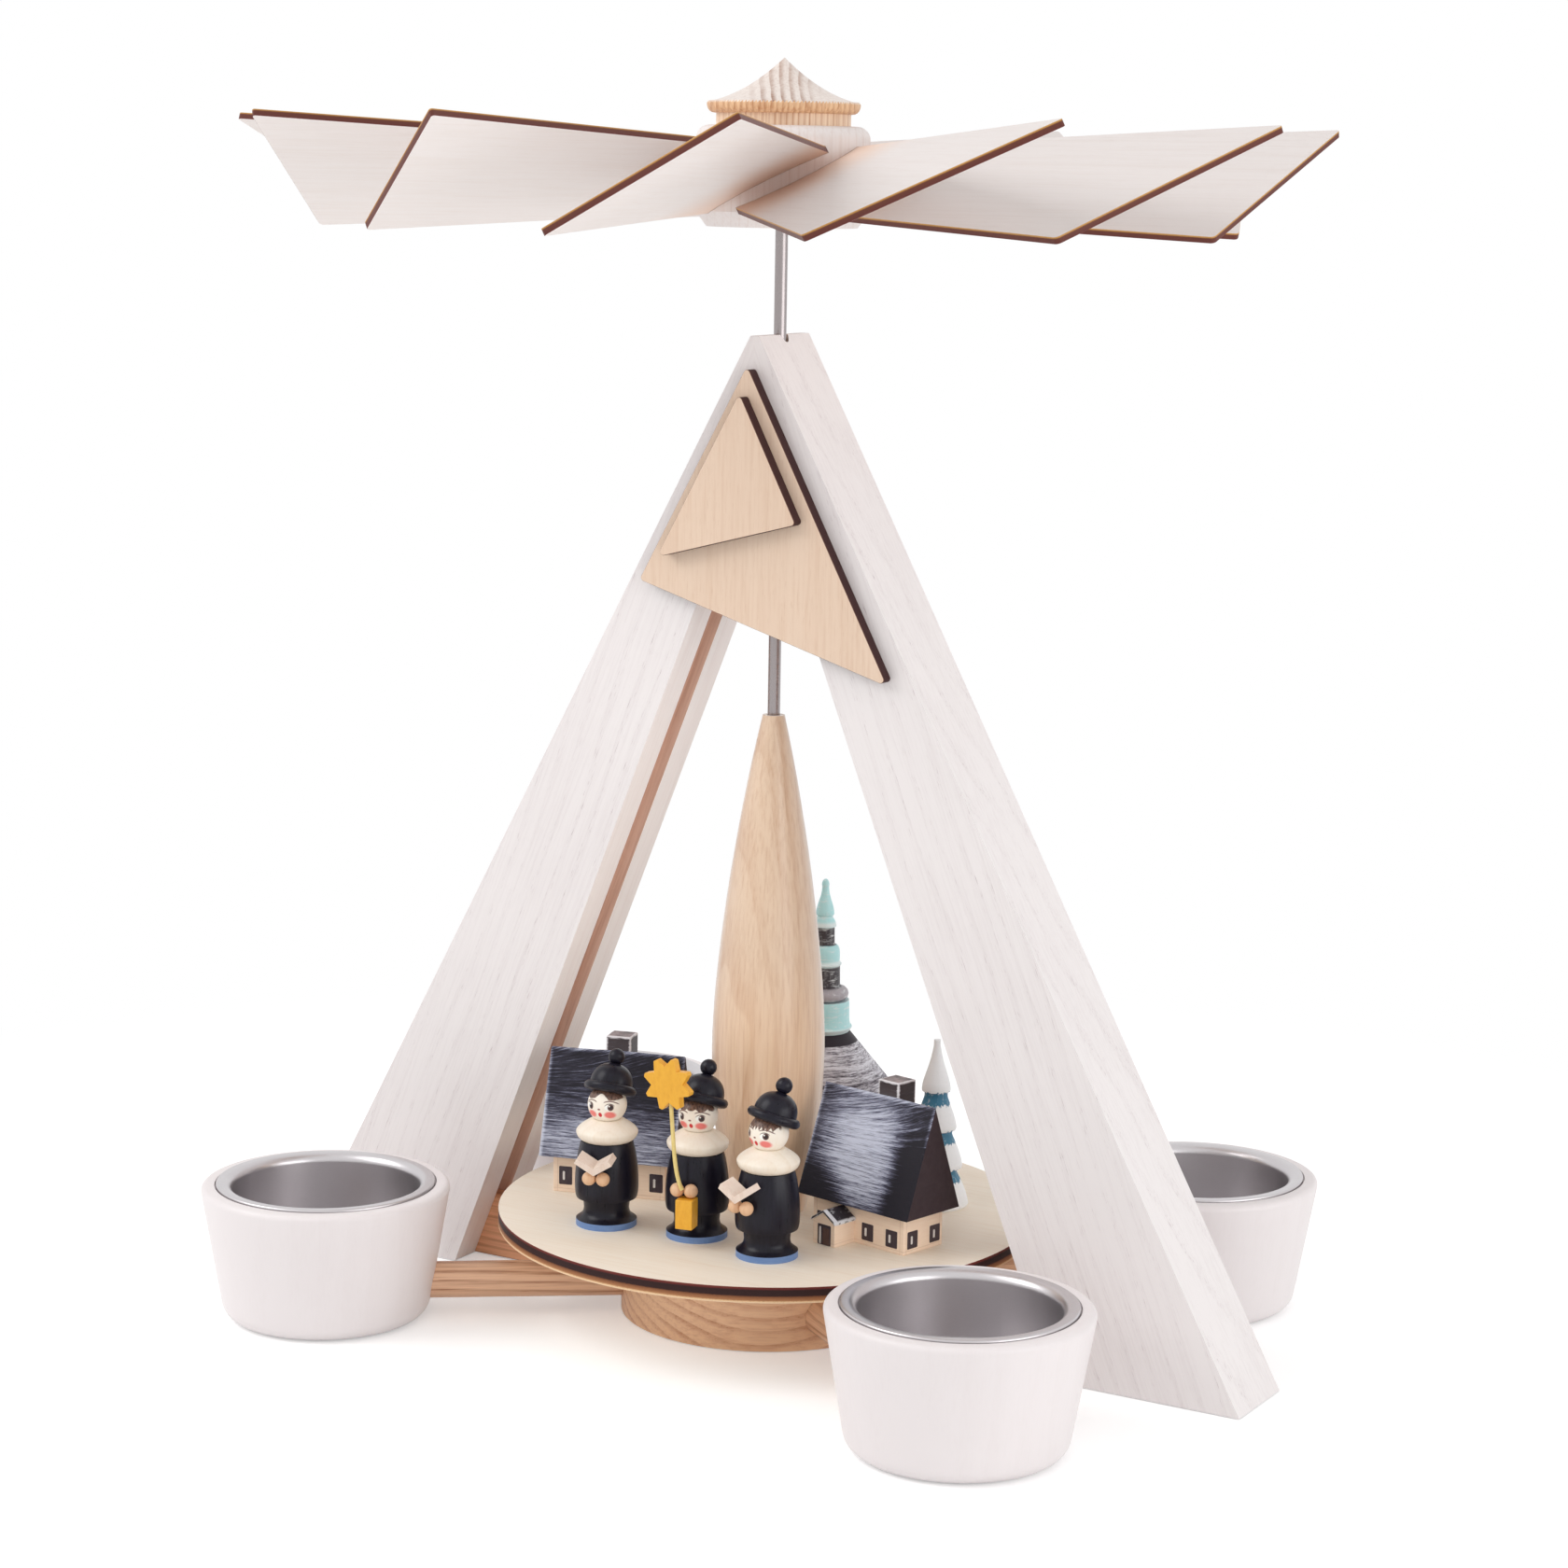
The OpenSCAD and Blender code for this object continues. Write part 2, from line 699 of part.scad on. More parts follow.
// A saucer-like collar with a round head sunk in its top
module caroler_head(n) {
    r = collar_r;
    edge = [r, collar_h * 0.44];
    color(cream) at_caroler(n) {
        difference() {
            translate([0, 0, collar_z]) turned(concat(
                [[0, 0]],
                curve([cape_top_r * 0.9, 0], [r * 0.95, collar_h * 0.1], [r, collar_h * 0.3], edge),
                curve(edge, [r * 0.98, collar_h * 0.62], [r * 0.7, collar_h * 0.85],
                    [head_r * 0.8, collar_h]),
                [[0, collar_h]]
            ));
            translate([0, 0, head_z]) sphere(head_r + glue_gap);
        }
        translate([0, 0, head_z]) sphere(head_r);
    }
}

module caroler_hat(n) {
    brim_z = head_r * 0.53;
    crown_r = head_r + crown_wall;
    top_z = brim_z + brim_h + crown_h;
    roll = brim_h / 2;
    color(ebony) at_caroler(n) translate([0, 0, head_z]) rotate([0, -hat_lean, -hat_turn]) {
        difference() {
            turned(concat(
                [[0, brim_z]],
                arc([brim_r - roll, brim_z + roll], roll, -90, 90),
                curve([crown_r, brim_z + brim_h], [crown_r, brim_z + brim_h + crown_h * 0.6],
                    [crown_r * 0.6, top_z], [0, top_z])
            ));
            sphere(head_r + glue_gap);
        }
        translate([0, 0, top_z + pompom_r * 0.8]) sphere(pompom_r);
    }
}

module hand_pair() {
    for (side = [-1, 1]) translate([hand_x, side * (hand_r + glue_gap), hand_z]) sphere(hand_r);
}

// An open book whose spine lies in the notch between the hands
module song_book() {
    spine_z = hand_z + hand_r + glue_gap;
    translate([hand_x, 0, spine_z]) rotate([0, book_lean, 0]) rotate([90, 0, 90])
        linear_extrude(leaf_w, center = true) for (side = [0, 1]) mirror([side, 0]) book_leaf();
}

// One leaf seen along the spine, cut upright where it meets the other
module book_leaf() {
    along = leaf_len * [cos(leaf_rise), sin(leaf_rise)];
    across = leaf_t * [-sin(leaf_rise), cos(leaf_rise)];
    polygon([[0, 0], along, along + across, [0, leaf_t / cos(leaf_rise)]]);
}

module caroler_hands(n) {
    color(cream) at_caroler(n) {
        hand_pair();
        if (n != "middle") song_book();
    }
}

module star_shape() {
    polygon([for (i = [0 : star_points - 1])
        let (a = 360 * i / star_points, b = a + 180 / star_points)
        let (tip = star_r * [cos(b), sin(b)], side = star_tip_w / 2 * [-sin(b), cos(b)])
        each [star_in_r * [cos(a), sin(a)], tip - side, tip + side]]);
}

module caroler_star() {
    // The stick stands in the notch between the hands
    side = hand_r + glue_gap;
    stick_x = hand_x + sqrt(pow(side + stick_d / 2, 2) - side * side);
    lantern_y = (side - lantern_w) / 2;
    lantern_z = hand_z - hand_r - glue_gap - lantern_h;
    color(gold) at_caroler("middle") {
        translate([stick_x, 0, hand_z]) rotate([star_lean, 0, 0]) {
            cylinder(h = star_rise - star_in_r / 2, d = stick_d);
            translate([0, 0, star_rise]) rotate([0, 0, -star_turn]) rotate([90, 0, 90])
                linear_extrude(star_t, center = true) star_shape();
        }
        translate([cape_r + glue_gap, lantern_y, lantern_z]) cube([lantern_w, lantern_w, lantern_h]);
    }
}

// Rotor: houses, church and tree

module at_house(n) {
    if (n == "left") on_disc(left_house_in, left_house_at, left_house_turn) children();
    if (n == "right") on_disc(right_house_in, right_house_at, right_house_turn) children();
}

module porch_outline() {
    polygon([
        [0, 0], [porch_w, 0], [porch_w, porch_h], [porch_w / 2, porch_h + porch_rise], [0, porch_h]
    ]);
}

module house_walls(n) {
    color(cream) at_house(n) {
        translate([-house_len / 2, -house_w / 2, 0]) cube([house_len, house_w, house_wall_h]);
        if (n == "right") translate([porch_x, -house_w / 2 - porch_d, 0]) rotate([90, 0, 0])
            mirror([0, 0, 1]) linear_extrude(porch_d) porch_outline();
    }
}

// Two thin slabs that follow the porch's gable
module porch_roof() {
    half = porch_w / 2 + porch_over;
    drop = half * porch_rise / (porch_w / 2);
    front = -house_w / 2 - porch_d - porch_over;
    translate([porch_x + porch_w / 2, front, porch_h + porch_rise]) rotate([90, 0, 0])
        mirror([0, 0, 1]) linear_extrude(porch_d + porch_over) polygon([
            [0, 0], [half, -drop], [half, porch_roof_t - drop],
            [0, porch_roof_t], [-half, porch_roof_t - drop], [-half, -drop]
        ]);
}

module house_roof(n) {
    chimney_x = n == "left" ? 0 : chimney_w * 0.4;
    // The chimney starts below the back slope at its far side
    chimney_z = roof_h * 0.25;
    color(slate) at_house(n) {
        translate([0, 0, house_wall_h]) union() {
            rotate([90, 0, 90]) linear_extrude(roof_len, center = true)
                polygon([[-roof_w / 2, 0], [roof_w / 2, 0], [0, roof_h]]);
            translate([chimney_x - chimney_w / 2, 0, chimney_z])
                cube([chimney_w, chimney_d, roof_h - chimney_z + chimney_rise]);
        }
        if (n == "right") porch_roof();
    }
}

module at_church(z) {
    on_disc(church_in, church_at, 0) translate([0, 0, z]) children();
}

module church_walls() {
    color(cream) at_church(0) cylinder(h = church_wall_h, r = church_r, $fn = 8);
}

module church_roof() {
    color(slate) at_church(church_wall_h) turned([
        [0, 0], [church_roof_r, 0], [church_roof_r * 0.94, church_roof_h * 0.1],
        [church_roof_top_r, church_roof_h], [0, church_roof_h]
    ]);
}

// The tower's turned tiers, from the bell-shaped foot up to the spire
module church_tower() {
    h = tower_h;
    r = tower_r;
    ring = h * 0.042;
    lip = r * 0.05;
    color(mint) at_church(church_wall_h + church_roof_h) turned(concat(
        [[0, 0], [r * 0.9, 0]],
        arc([r - lip, h * 0.03], lip, -60, 90),
        curve([r * 0.93, h * 0.05], [r * 0.88, h * 0.1], [r * 0.92, h * 0.16], [r * 0.88, h * 0.207]),
        arc([r * 0.64, h * 0.207 + ring], ring, -90, 90),
        [[r * 0.56, h * 0.3], [r * 0.55, h * 0.432]],
        arc([r * 0.55, h * 0.444], lip, -90, 90),
        curve([r * 0.53, h * 0.46], [r * 0.56, h * 0.54], [r * 0.5, h * 0.56], [r * 0.42, h * 0.568]),
        [[r * 0.35, h * 0.575], [r * 0.34, h * 0.685], [r * 0.4, h * 0.69]],
        curve([r * 0.4, h * 0.7], [r * 0.37, h * 0.73], [r * 0.27, h * 0.74], [r * 0.27, h * 0.757]),
        curve([r * 0.32, h * 0.77], [r * 0.3, h * 0.84], [r * 0.12, h * 0.88], [r * 0.12, h * 0.95]),
        curve([r * 0.13, h * 0.96], [r * 0.13, h * 0.98], [r * 0.08, h], [0, h], corner_steps)
    ));
}

module tree() {
    // Each tier is as high as the others, with a straight neck on top, and the tip stands above them
    tip_h = tree_h * 0.08;
    tier_h = (tree_h - tip_h) / tree_tiers;
    tip_r = tree_r * 0.1;
    step_r = tree_r * 0.58 / (tree_tiers - 1);
    last_r = tree_r * 0.42;
    last_z = tree_h - tip_h - tier_h;
    color(snow) on_disc(tree_in, tree_at, 0) turned(concat(
        [[0, 0]],
        [for (i = [0 : tree_tiers - 2])
            let (low = tree_r - i * step_r, up = (low - step_r) * 0.8, z = i * tier_h)
            each concat(
                [[low * 0.97, z]],
                curve([low, z + tier_h * 0.05], [low * 0.96, z + tier_h * 0.3],
                    [up * 1.25, z + tier_h * 0.6], [up, z + tier_h * 0.86], corner_steps),
                [[up, z + tier_h]]
            )],
        [[last_r * 0.97, last_z]],
        curve([last_r, last_z + tier_h * 0.05], [last_r * 0.98, last_z + tier_h * 0.33],
            [last_r * 0.45, last_z + tier_h * 0.64], [tip_r, last_z + tier_h * 1.2], corner_steps),
        [[tip_r, tree_h], [0, tree_h]]
    ));
}

// Drawing

base_hub();
pivot_cup();
mirror([1, 0, 0]) leg();  // leg_left
leg();  // leg_right
mirror([1, 0, 0]) tie();  // tie_left
tie();  // tie_right
plate_large();
plate_small();
guide_bush();
for (i = [0 : len(arm_names) - 1]) {
    arm(i);
    cup(i);
    insert(i);
}
shaft();
wheel_hub();
wheel_ring();
wheel_cap();
for (i = [0 : blade_count - 1]) blade(i);
trunk();
disc();
for (n = singers) {
    caroler_body(n);
    caroler_head(n);
    caroler_hat(n);
    caroler_hands(n);
}
caroler_star();
for (n = houses) {
    house_walls(n);
    house_roof(n);
}
church_walls();
church_roof();
church_tower();
tree();
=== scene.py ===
"""Looks of the christmas pyramid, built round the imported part. Metres, in the part's own frame."""

import json
import math

import bmesh
import bpy
from mathutils import Matrix, Vector
from mathutils.geometry import interpolate_bezier

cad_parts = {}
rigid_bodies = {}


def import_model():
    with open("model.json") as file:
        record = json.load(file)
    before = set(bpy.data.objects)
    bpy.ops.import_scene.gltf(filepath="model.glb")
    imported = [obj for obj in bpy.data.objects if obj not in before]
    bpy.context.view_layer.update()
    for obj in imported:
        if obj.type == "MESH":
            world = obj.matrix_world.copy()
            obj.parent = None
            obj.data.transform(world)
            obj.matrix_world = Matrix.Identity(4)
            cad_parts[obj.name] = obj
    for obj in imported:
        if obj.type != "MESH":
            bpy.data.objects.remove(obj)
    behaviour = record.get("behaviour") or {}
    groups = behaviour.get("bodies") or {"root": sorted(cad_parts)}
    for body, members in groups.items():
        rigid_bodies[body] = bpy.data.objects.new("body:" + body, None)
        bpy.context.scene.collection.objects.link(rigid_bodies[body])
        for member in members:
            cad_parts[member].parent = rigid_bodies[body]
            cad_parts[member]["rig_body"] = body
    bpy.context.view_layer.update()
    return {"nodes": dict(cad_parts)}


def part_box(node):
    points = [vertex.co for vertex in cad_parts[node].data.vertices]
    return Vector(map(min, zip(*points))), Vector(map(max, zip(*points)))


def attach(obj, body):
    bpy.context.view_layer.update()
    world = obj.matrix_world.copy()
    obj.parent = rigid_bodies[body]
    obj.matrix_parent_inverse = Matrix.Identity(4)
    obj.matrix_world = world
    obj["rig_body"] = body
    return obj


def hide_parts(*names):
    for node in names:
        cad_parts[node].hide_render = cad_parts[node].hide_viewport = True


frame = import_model()

# Units and shared values
MM = 0.001
UP = (0.0, 0.0, 1.0)
NODES = frame["nodes"]
WELD = 1e-6
FLAT = math.radians(0.6)
CREASE = math.radians(35.0)
# How much of a normal lies along an axis where a face looks that way
FACING = 0.8
# The same for an edge that stands along Z
UPRIGHT = 0.99

# Sizes and places of the part, in mm and degrees
DISC_TOP = 23.0
DISC_T = 3.4
BLADES = 12
BLADE_Z = 247.01
BLADE_T = 1.5
BLADE_PITCH = 26.6
BLADE_RUN = (0.05, 1.3, 1.3)
CAP_CONE_H = 9.1
INSERT_TOP = 30.1
INSERT_FLANGE_Z = 28.9
INSERT_FOOT = 13.8
INSERT_WALL = 0.7
INSERT_R = 21.1
FLANGE_R = 23.8
HUB_GRAIN_TURN = 30.0
LEG_SLANT = 21.9
LEG_APEX_Z = 190.5
GROOVE_HALF = 2.8
HEAD_R = 4.25
HAT_LEAN = 21.0
HAT_TURN = 15.0
HAND_X = 8.45
HAND_Z = 12.2
HAND_R = 1.55
FOOT_RIM_H = 1.35
STICK_R = 0.4
STAR_R = 5.7
STAR_IN_R = 3.9
STAR_TIP_W = 0.8
STAR_T = 2.0
STAR_POINTS = 8
STAR_RISE = 23.5
STAR_LEAN = 8.0
STAR_TURN = 11.0
WIRE_R = 0.45
WIRE_BOW = -1.9
WIRE_HANDLES = (3.6, 9.0)
WIRE_POINTS = 17
HOUSE_LEN = 26.0
HOUSE_W = 12.5
WALL_H = 8.4
ROOF_H = 23.4
ROOF_END = 15.75
ROOF_OVERHANG = 2.35
PORCH_X = -4.1
PORCH_FRONT = 12.55
CHIMNEY_HALF = (2.9, 2.8)
CHIMNEY_RISE = 3.2
CHIMNEY_X = {"left": 0.0, "right": 2.32}
CHURCH_R = 13.0
CHURCH_SIDES = 8
CHURCH_COLLAR = 2.0
CHURCH_WINDOW = (3.2, 6.8)
CHURCH_WINDOW_Z = 11.0
TOWER_CUTS = (0.207, 0.293, 0.432, 0.57, 0.686)
HEM_REACH = 1.2
TREE_TIERS = 4
TREE_TIER_H = 8.6
TREE_NECK = 0.66
CORNERS = ["front_right", "back_right", "back_left", "front_left"]

# Places on the disc: distance from the axis, angle there, and the way the piece faces
PLACES = {
    "caroler_left": (37.7, 234.1, 287.0),
    "caroler_middle": (27.3, 267.8, 282.0),
    "caroler_right": (36.6, 301.1, 259.0),
    "house_left": (35.5, 190.9, 15.6),
    "house_right": (32.9, 347.5, -12.7),
    "church": (33.4, 98.6, 0.0),
    "tree": (37.6, 37.0, 0.0),
}

# Windows by wall: width, height, and places along the wall
FRONT_WINDOWS = {"left": (3.1, 4.2, (-10.1, 0.4, 11.0)), "right": (3.3, 3.8, (2.75, 9.55, -10.2))}
OTHER_WINDOWS = {
    "back": (3.2, 4.0, (-9.6, -3.2, 3.2, 9.6)),
    "right": (3.3, 3.8, (-3.4, 3.8)),
    "left": (3.3, 3.8, (-3.6, 3.6)),
}
WINDOW_Z = {"left": 3.8, "right": 3.0}
WALLS_OUT = {"front": (0, -1), "back": (0, 1), "right": (1, 0), "left": (-1, 0)}

# The door's frame, white line and leaf: width, height, corner radius, middle and thickness
DOOR = (
    (3.8, 4.5, 0.25, (0.1, 2.3), 0.1),
    (0.5, 4.0, 0.2, (-0.95, 2.1), 0.17),
    (1.9, 3.9, 0.2, (0.75, 2.05), 0.17),
)

# Turn of each painted face away from the way its figure faces
FACE_TURN = {"left": -7.0, "middle": -3.0, "right": 0.0}

# Camera fitted to the photograph
CAM_AZIMUTH = 30.26
CAM_PITCH = 9.71
CAM_ROLL = 0.98
CAM_DISTANCE = 779.02
CAM_TARGET_SIDE = 2.47
CAM_TARGET_Z = 117.81
CAM_LENS = 82.425
CAM_SENSOR = 36.0

# Light: the sky's strength, and for each lamp its place and size in mm and its power in watts
SKY_LEVEL = 0.72
LAMPS = {"key": ((-680.0, -600.0, 820.0), 700.0, 4.9), "fill": ((960.0, -160.0, 110.0), 800.0, 4.2)}
LAMP_TARGET = (0.0, 0.0, 130.0)

# Floor: radius and depth in metres, the distances in mm between which it turns white, glow and colour
FLOOR_R = 3.0
FLOOR_DROP = 0.0002
FLOOR_FADE = (150.0, 330.0)
FLOOR_GLOW = 0.32
FLOOR_COLOUR = (0.92, 0.92, 0.92, 1.0)


# Node graphs

def tone(red, green, blue):
    """A linear colour from an sRGB one of 0 to 255."""
    def linear(value):
        value /= 255.0
        return value / 12.92 if value <= 0.04045 else ((value + 0.055) / 1.055) ** 2.4
    return (linear(red), linear(green), linear(blue), 1.0)


class Graph:
    """One material's node tree in short calls; a value is a number, a colour or a socket."""

    def __init__(self, name, roughness=0.5):
        self.material = bpy.data.materials.new(name)
        self.material.use_nodes = True
        self.tree = self.material.node_tree
        self.shader = self.tree.nodes["Principled BSDF"]
        self.set("Roughness", roughness)

    def set(self, key, value):
        self.put(self.shader.inputs[key], value)

    def put(self, socket, value):
        if isinstance(value, bpy.types.NodeSocket):
            self.tree.links.new(value, socket)
        else:
            socket.default_value = value

    def node(self, kind, values=None, out=0, **settings):
        made = self.tree.nodes.new("ShaderNode" + kind)
        for key, value in settings.items():
            setattr(made, key, value)
        for key, value in (values or {}).items():
            self.put(made.inputs[key], value)
        return made.outputs[out]

    def point(self, unit=MM):
        """The point in the piece's own frame, in units of that many metres."""
        spot = self.node("TexCoord", out="Object")
        return self.node("VectorMath", {0: spot, "Scale": 1.0 / unit}, operation="SCALE")

    def chance(self):
        """A number from 0 to 1 that differs from piece to piece."""
        return self.node("ObjectInfo", out="Random")

    def split(self, vector):
        made = self.tree.nodes.new("ShaderNodeSeparateXYZ")
        self.put(made.inputs[0], vector)
        return made.outputs

    def join(self, x, y, z):
        return self.node("CombineXYZ", {0: x, 1: y, 2: z})

    def math(self, how, a, b=0.0, clamp=False):
        return self.node("Math", {0: a, 1: b}, operation=how, use_clamp=clamp)

    def sum(self, a, b):
        return self.math("ADD", a, b)

    def less(self, a, b):
        return self.math("SUBTRACT", a, b)

    def times(self, a, b):
        return self.math("MULTIPLY", a, b)

    def over(self, a, b):
        return self.math("DIVIDE", a, b)

    def most(self, a, b):
        return self.math("MAXIMUM", a, b)

    def absolute(self, a):
        return self.math("ABSOLUTE", a)

    def length(self, a, b):
        return self.math("SQRT", self.sum(self.times(a, a), self.times(b, b)))

    def swing(self, noise, reach):
        """A noise of about 0.5 as a swing to both sides of 0."""
        return self.times(self.less(noise, 0.5), reach)

    def shift(self, vector, by):
        return self.node("VectorMath", {0: vector, 1: by}, operation="ADD")

    def noise(self, vector, scale, detail=3.0, rough=0.55):
        spread = self.node("VectorMath", {0: vector, 1: scale}, operation="MULTIPLY")
        return self.node("TexNoise", {"Vector": spread, "Scale": 1.0, "Detail": detail, "Roughness": rough})

    def fade(self, value, low, high, top=1.0):
        """0 at low, top at high, smooth between; low may be larger than high."""
        values = {"Value": value, "From Min": low, "From Max": high, "To Max": top}
        return self.node("MapRange", values, interpolation_type="SMOOTHSTEP")

    def band(self, value, low, high, soft):
        """1 between low and high."""
        risen = self.fade(value, low - soft, low + soft)
        return self.times(risen, self.fade(value, high + soft, high - soft))

    def oval(self, u, v, middle, half, soft):
        """1 inside an ellipse of the plane of u and v."""
        a = self.over(self.less(u, middle[0]), half[0])
        b = self.over(self.less(v, middle[1]), half[1])
        return self.fade(self.length(a, b), 1.0 + soft, 1.0 - soft)

    def ramp(self, value, *stops):
        made = self.tree.nodes.new("ShaderNodeValToRGB")
        points = made.color_ramp.elements
        while len(points) < len(stops):
            points.new(1.0)
        for point, (position, colour) in zip(points, stops):
            point.position = position
            point.color = colour
        self.put(made.inputs[0], value)
        return made.outputs[0]

    def mix(self, share, a, b, how="MIX"):
        made = self.tree.nodes.new("ShaderNodeMix")
        made.data_type = "RGBA"
        made.blend_type = how
        for index, value in ((0, share), (6, a), (7, b)):
            self.put(made.inputs[index], value)
        return made.outputs[2]

    def finish(self, colour, height, depth, rough=None):
        """Sets the colour, and the bump from a height with its depth in mm."""
        self.set("Base Color", colour)
        if rough is not None:
            self.set("Roughness", rough)
        self.set("Normal", self.node("Bump", {"Height": height, "Distance": depth * MM}))
        return self.material


# Materials: wood

def wood(name, pale, dark, ring, late, fibre, heart=(60.0, 20.0), wide=0.6, sway=2.0, pores=0.2,
         roughness=0.5, coat=0.0, lean=0.0, depth=0.04, dash=0.16, belt=None, focus=None, sheen=0.0):
    """Wood whose grain runs along the piece's own Z, with growth rings round an off-centre heart.

    late is the strength of the dark lines and wide their share of a ring; sway bends them. lean tilts the
    grain towards the axis, the same on both sides of it. dash is the short side of the pores' noise along
    the grain. belt is a colour, the heights between which it lies, its share and its softness. focus is an
    azimuth and the two distances from its plane between which the dark lines fade out. sheen is the share of
    pale fuzz that shows at a slant. Lengths are in mm."""
    g = Graph(name, roughness)
    chance = g.chance()
    spot = g.point()
    if lean:
        x, y, z = g.split(spot)
        mirrored = g.join(g.absolute(x), y, z)
        values = {"Vector": mirrored, "Angle": math.radians(lean)}
        spot = g.node("VectorRotate", values, rotation_type="Y_AXIS")
    spot = g.shift(spot, g.join(0.0, 0.0, g.times(chance, 700.0)))
    x, y, z = g.split(spot)
    away = g.length(g.less(x, heart[0]), g.less(y, heart[1]))
    warp = g.swing(g.noise(spot, (0.035, 0.035, 0.012), 2.0), sway * ring * 2.0)
    turn = g.sum(g.over(g.sum(away, warp), ring), g.times(chance, 5.0))
    saw = g.math("FRACT", turn)
    strong = g.fade(g.noise(spot, (0.11, 0.11, 0.008), 2.0), 0.3, 0.7)
    line = g.times(g.fade(saw, 0.88 - wide, 0.88), g.fade(saw, 1.0, 0.93))
    line = g.times(line, g.sum(0.35, g.times(strong, 0.65)))
    if focus:
        angle = math.radians(focus[0])
        aside = g.absolute(g.sum(g.times(x, math.cos(angle)), g.times(y, math.sin(angle))))
        line = g.times(line, g.fade(aside, focus[2], focus[1]))
    fibres = g.noise(spot, (1.7, 1.7, 0.045), 4.0, 0.6)
    dashes = g.fade(g.noise(spot, (5.5, 5.5, dash), 2.0), 0.58, 0.7)
    cloud = g.noise(spot, (0.05, 0.05, 0.02), 3.0)
    share = g.sum(g.times(line, late), g.fade(fibres, 0.38, 0.78, fibre))
    share = g.sum(share, g.swing(cloud, 0.3))
    share = g.math("ADD", share, g.times(g.times(dashes, g.sum(0.15, line)), pores), clamp=True)
    height = g.less(g.sum(g.times(line, 0.3), g.times(fibres, 0.4)), g.times(dashes, 0.5))
    g.set("Coat Weight", coat)
    g.set("Coat Roughness", 0.22)
    g.set("Sheen Weight", sheen)
    rough = g.sum(roughness - 0.06, g.times(fibres, 0.12))
    colour = g.mix(share, pale, dark)
    # A belt multiplies a colour in between two heights; on the wheel hub it is painted shade and bounce
    # light
    if belt:
        inside = g.band(g.split(g.point())[2], belt[1], belt[2], belt[4])
        colour = g.mix(g.times(inside, belt[3]), colour, belt[0], "MULTIPLY")
    return g.finish(colour, height, depth, rough)


def veneer(name, pale, dark, run, strength=0.35, painted_root_shade=None):
    """The face of a thin birch board; run is the noise's stretch, small along the grain.

    The last argument is a colour that takes over along the piece's own X, from one distance in mm to
    another: painted shade and bounce light."""
    g = Graph(name, 0.55)
    spot = g.shift(g.point(), g.join(0.0, 0.0, g.times(g.chance(), 90.0)))
    fibre_scale, pore_scale, cloud_scale = [[size * value for value in run] for size in (0.9, 4.0, 0.12)]
    fibres = g.noise(spot, fibre_scale, 4.0, 0.62)
    dashes = g.fade(g.noise(spot, pore_scale, 2.0), 0.6, 0.74)
    cloud = g.noise(spot, cloud_scale, 3.0)
    share = g.times(g.sum(g.fade(fibres, 0.4, 0.8), dashes), strength)
    share = g.math("ADD", share, g.times(g.less(cloud, 0.45), strength * 1.5), clamp=True)
    colour = g.mix(share, pale, dark)
    # Painted shade and bounce light: a tan tint that grows along X towards the hub
    if painted_root_shade:
        root = g.fade(g.split(g.point())[0], painted_root_shade[1], painted_root_shade[2])
        colour = g.mix(g.times(root, 0.85), colour, painted_root_shade[0])
    return g.finish(colour, g.less(fibres, g.times(dashes, 0.6)), 0.03)


def burnt(name, thick, layers, speckle=0.2, roughness=0.6, shine=0.2):
    """A laser-cut edge: burnt layers over the board's thickness, along the piece's own Z."""
    g = Graph(name, roughness)
    g.set("Specular IOR Level", shine)
    spot = g.point()
    z = g.split(spot)[2]
    grit = g.noise(spot, (2.6, 2.6, 9.0), 4.0, 0.7)
    level = g.sum(g.sum(g.over(z, thick), 0.5), g.swing(grit, 0.12))
    colour = g.ramp(level, *layers)
    soot = g.fade(grit, 0.55, 0.75, speckle)
    return g.finish(g.mix(soot, colour, tone(38, 24, 24)), grit, 0.04)


# Materials: metal

def steel(name, colour, roughness, run):
    """Satin steel with fine marks; run is the noise's stretch."""
    g = Graph(name, roughness)
    spot = g.point()
    marks = g.noise(spot, run, 4.0, 0.65)
    stain = g.noise(spot, (0.12, 0.12, 0.2), 3.0)
    g.set("Metallic", 1.0)
    shade = tuple(0.86 * value for value in colour[:3]) + (1.0,)
    rough = g.sum(roughness - 0.08, g.times(g.sum(marks, stain), 0.1))
    share = g.sum(g.times(marks, 0.6), g.times(stain, 0.4))
    return g.finish(g.mix(share, colour, shade), marks, 0.01, rough)


# Materials: paint

def paint(name, colour, shade, roughness, run=(1.4, 1.4, 0.12), coat=0.0, shine=0.4):
    """Brushed-on paint with streaks along the noise's long side and slightly worn spots."""
    g = Graph(name, roughness)
    spot = g.shift(g.point(), g.join(0.0, 0.0, g.times(g.chance(), 300.0)))
    streaks = g.noise(spot, run, 4.0, 0.6)
    spots = g.noise(spot, (0.9, 0.9, 0.9), 3.0)
    share = g.sum(g.fade(streaks, 0.3, 0.8, 0.7), g.fade(spots, 0.5, 0.8, 0.3))
    g.set("Specular IOR Level", shine)
    g.set("Coat Weight", coat)
    g.set("Coat Roughness", 0.3)
    rough = g.sum(roughness - 0.08, g.times(streaks, 0.16))
    return g.finish(g.mix(share, colour, shade), streaks, 0.03, rough)


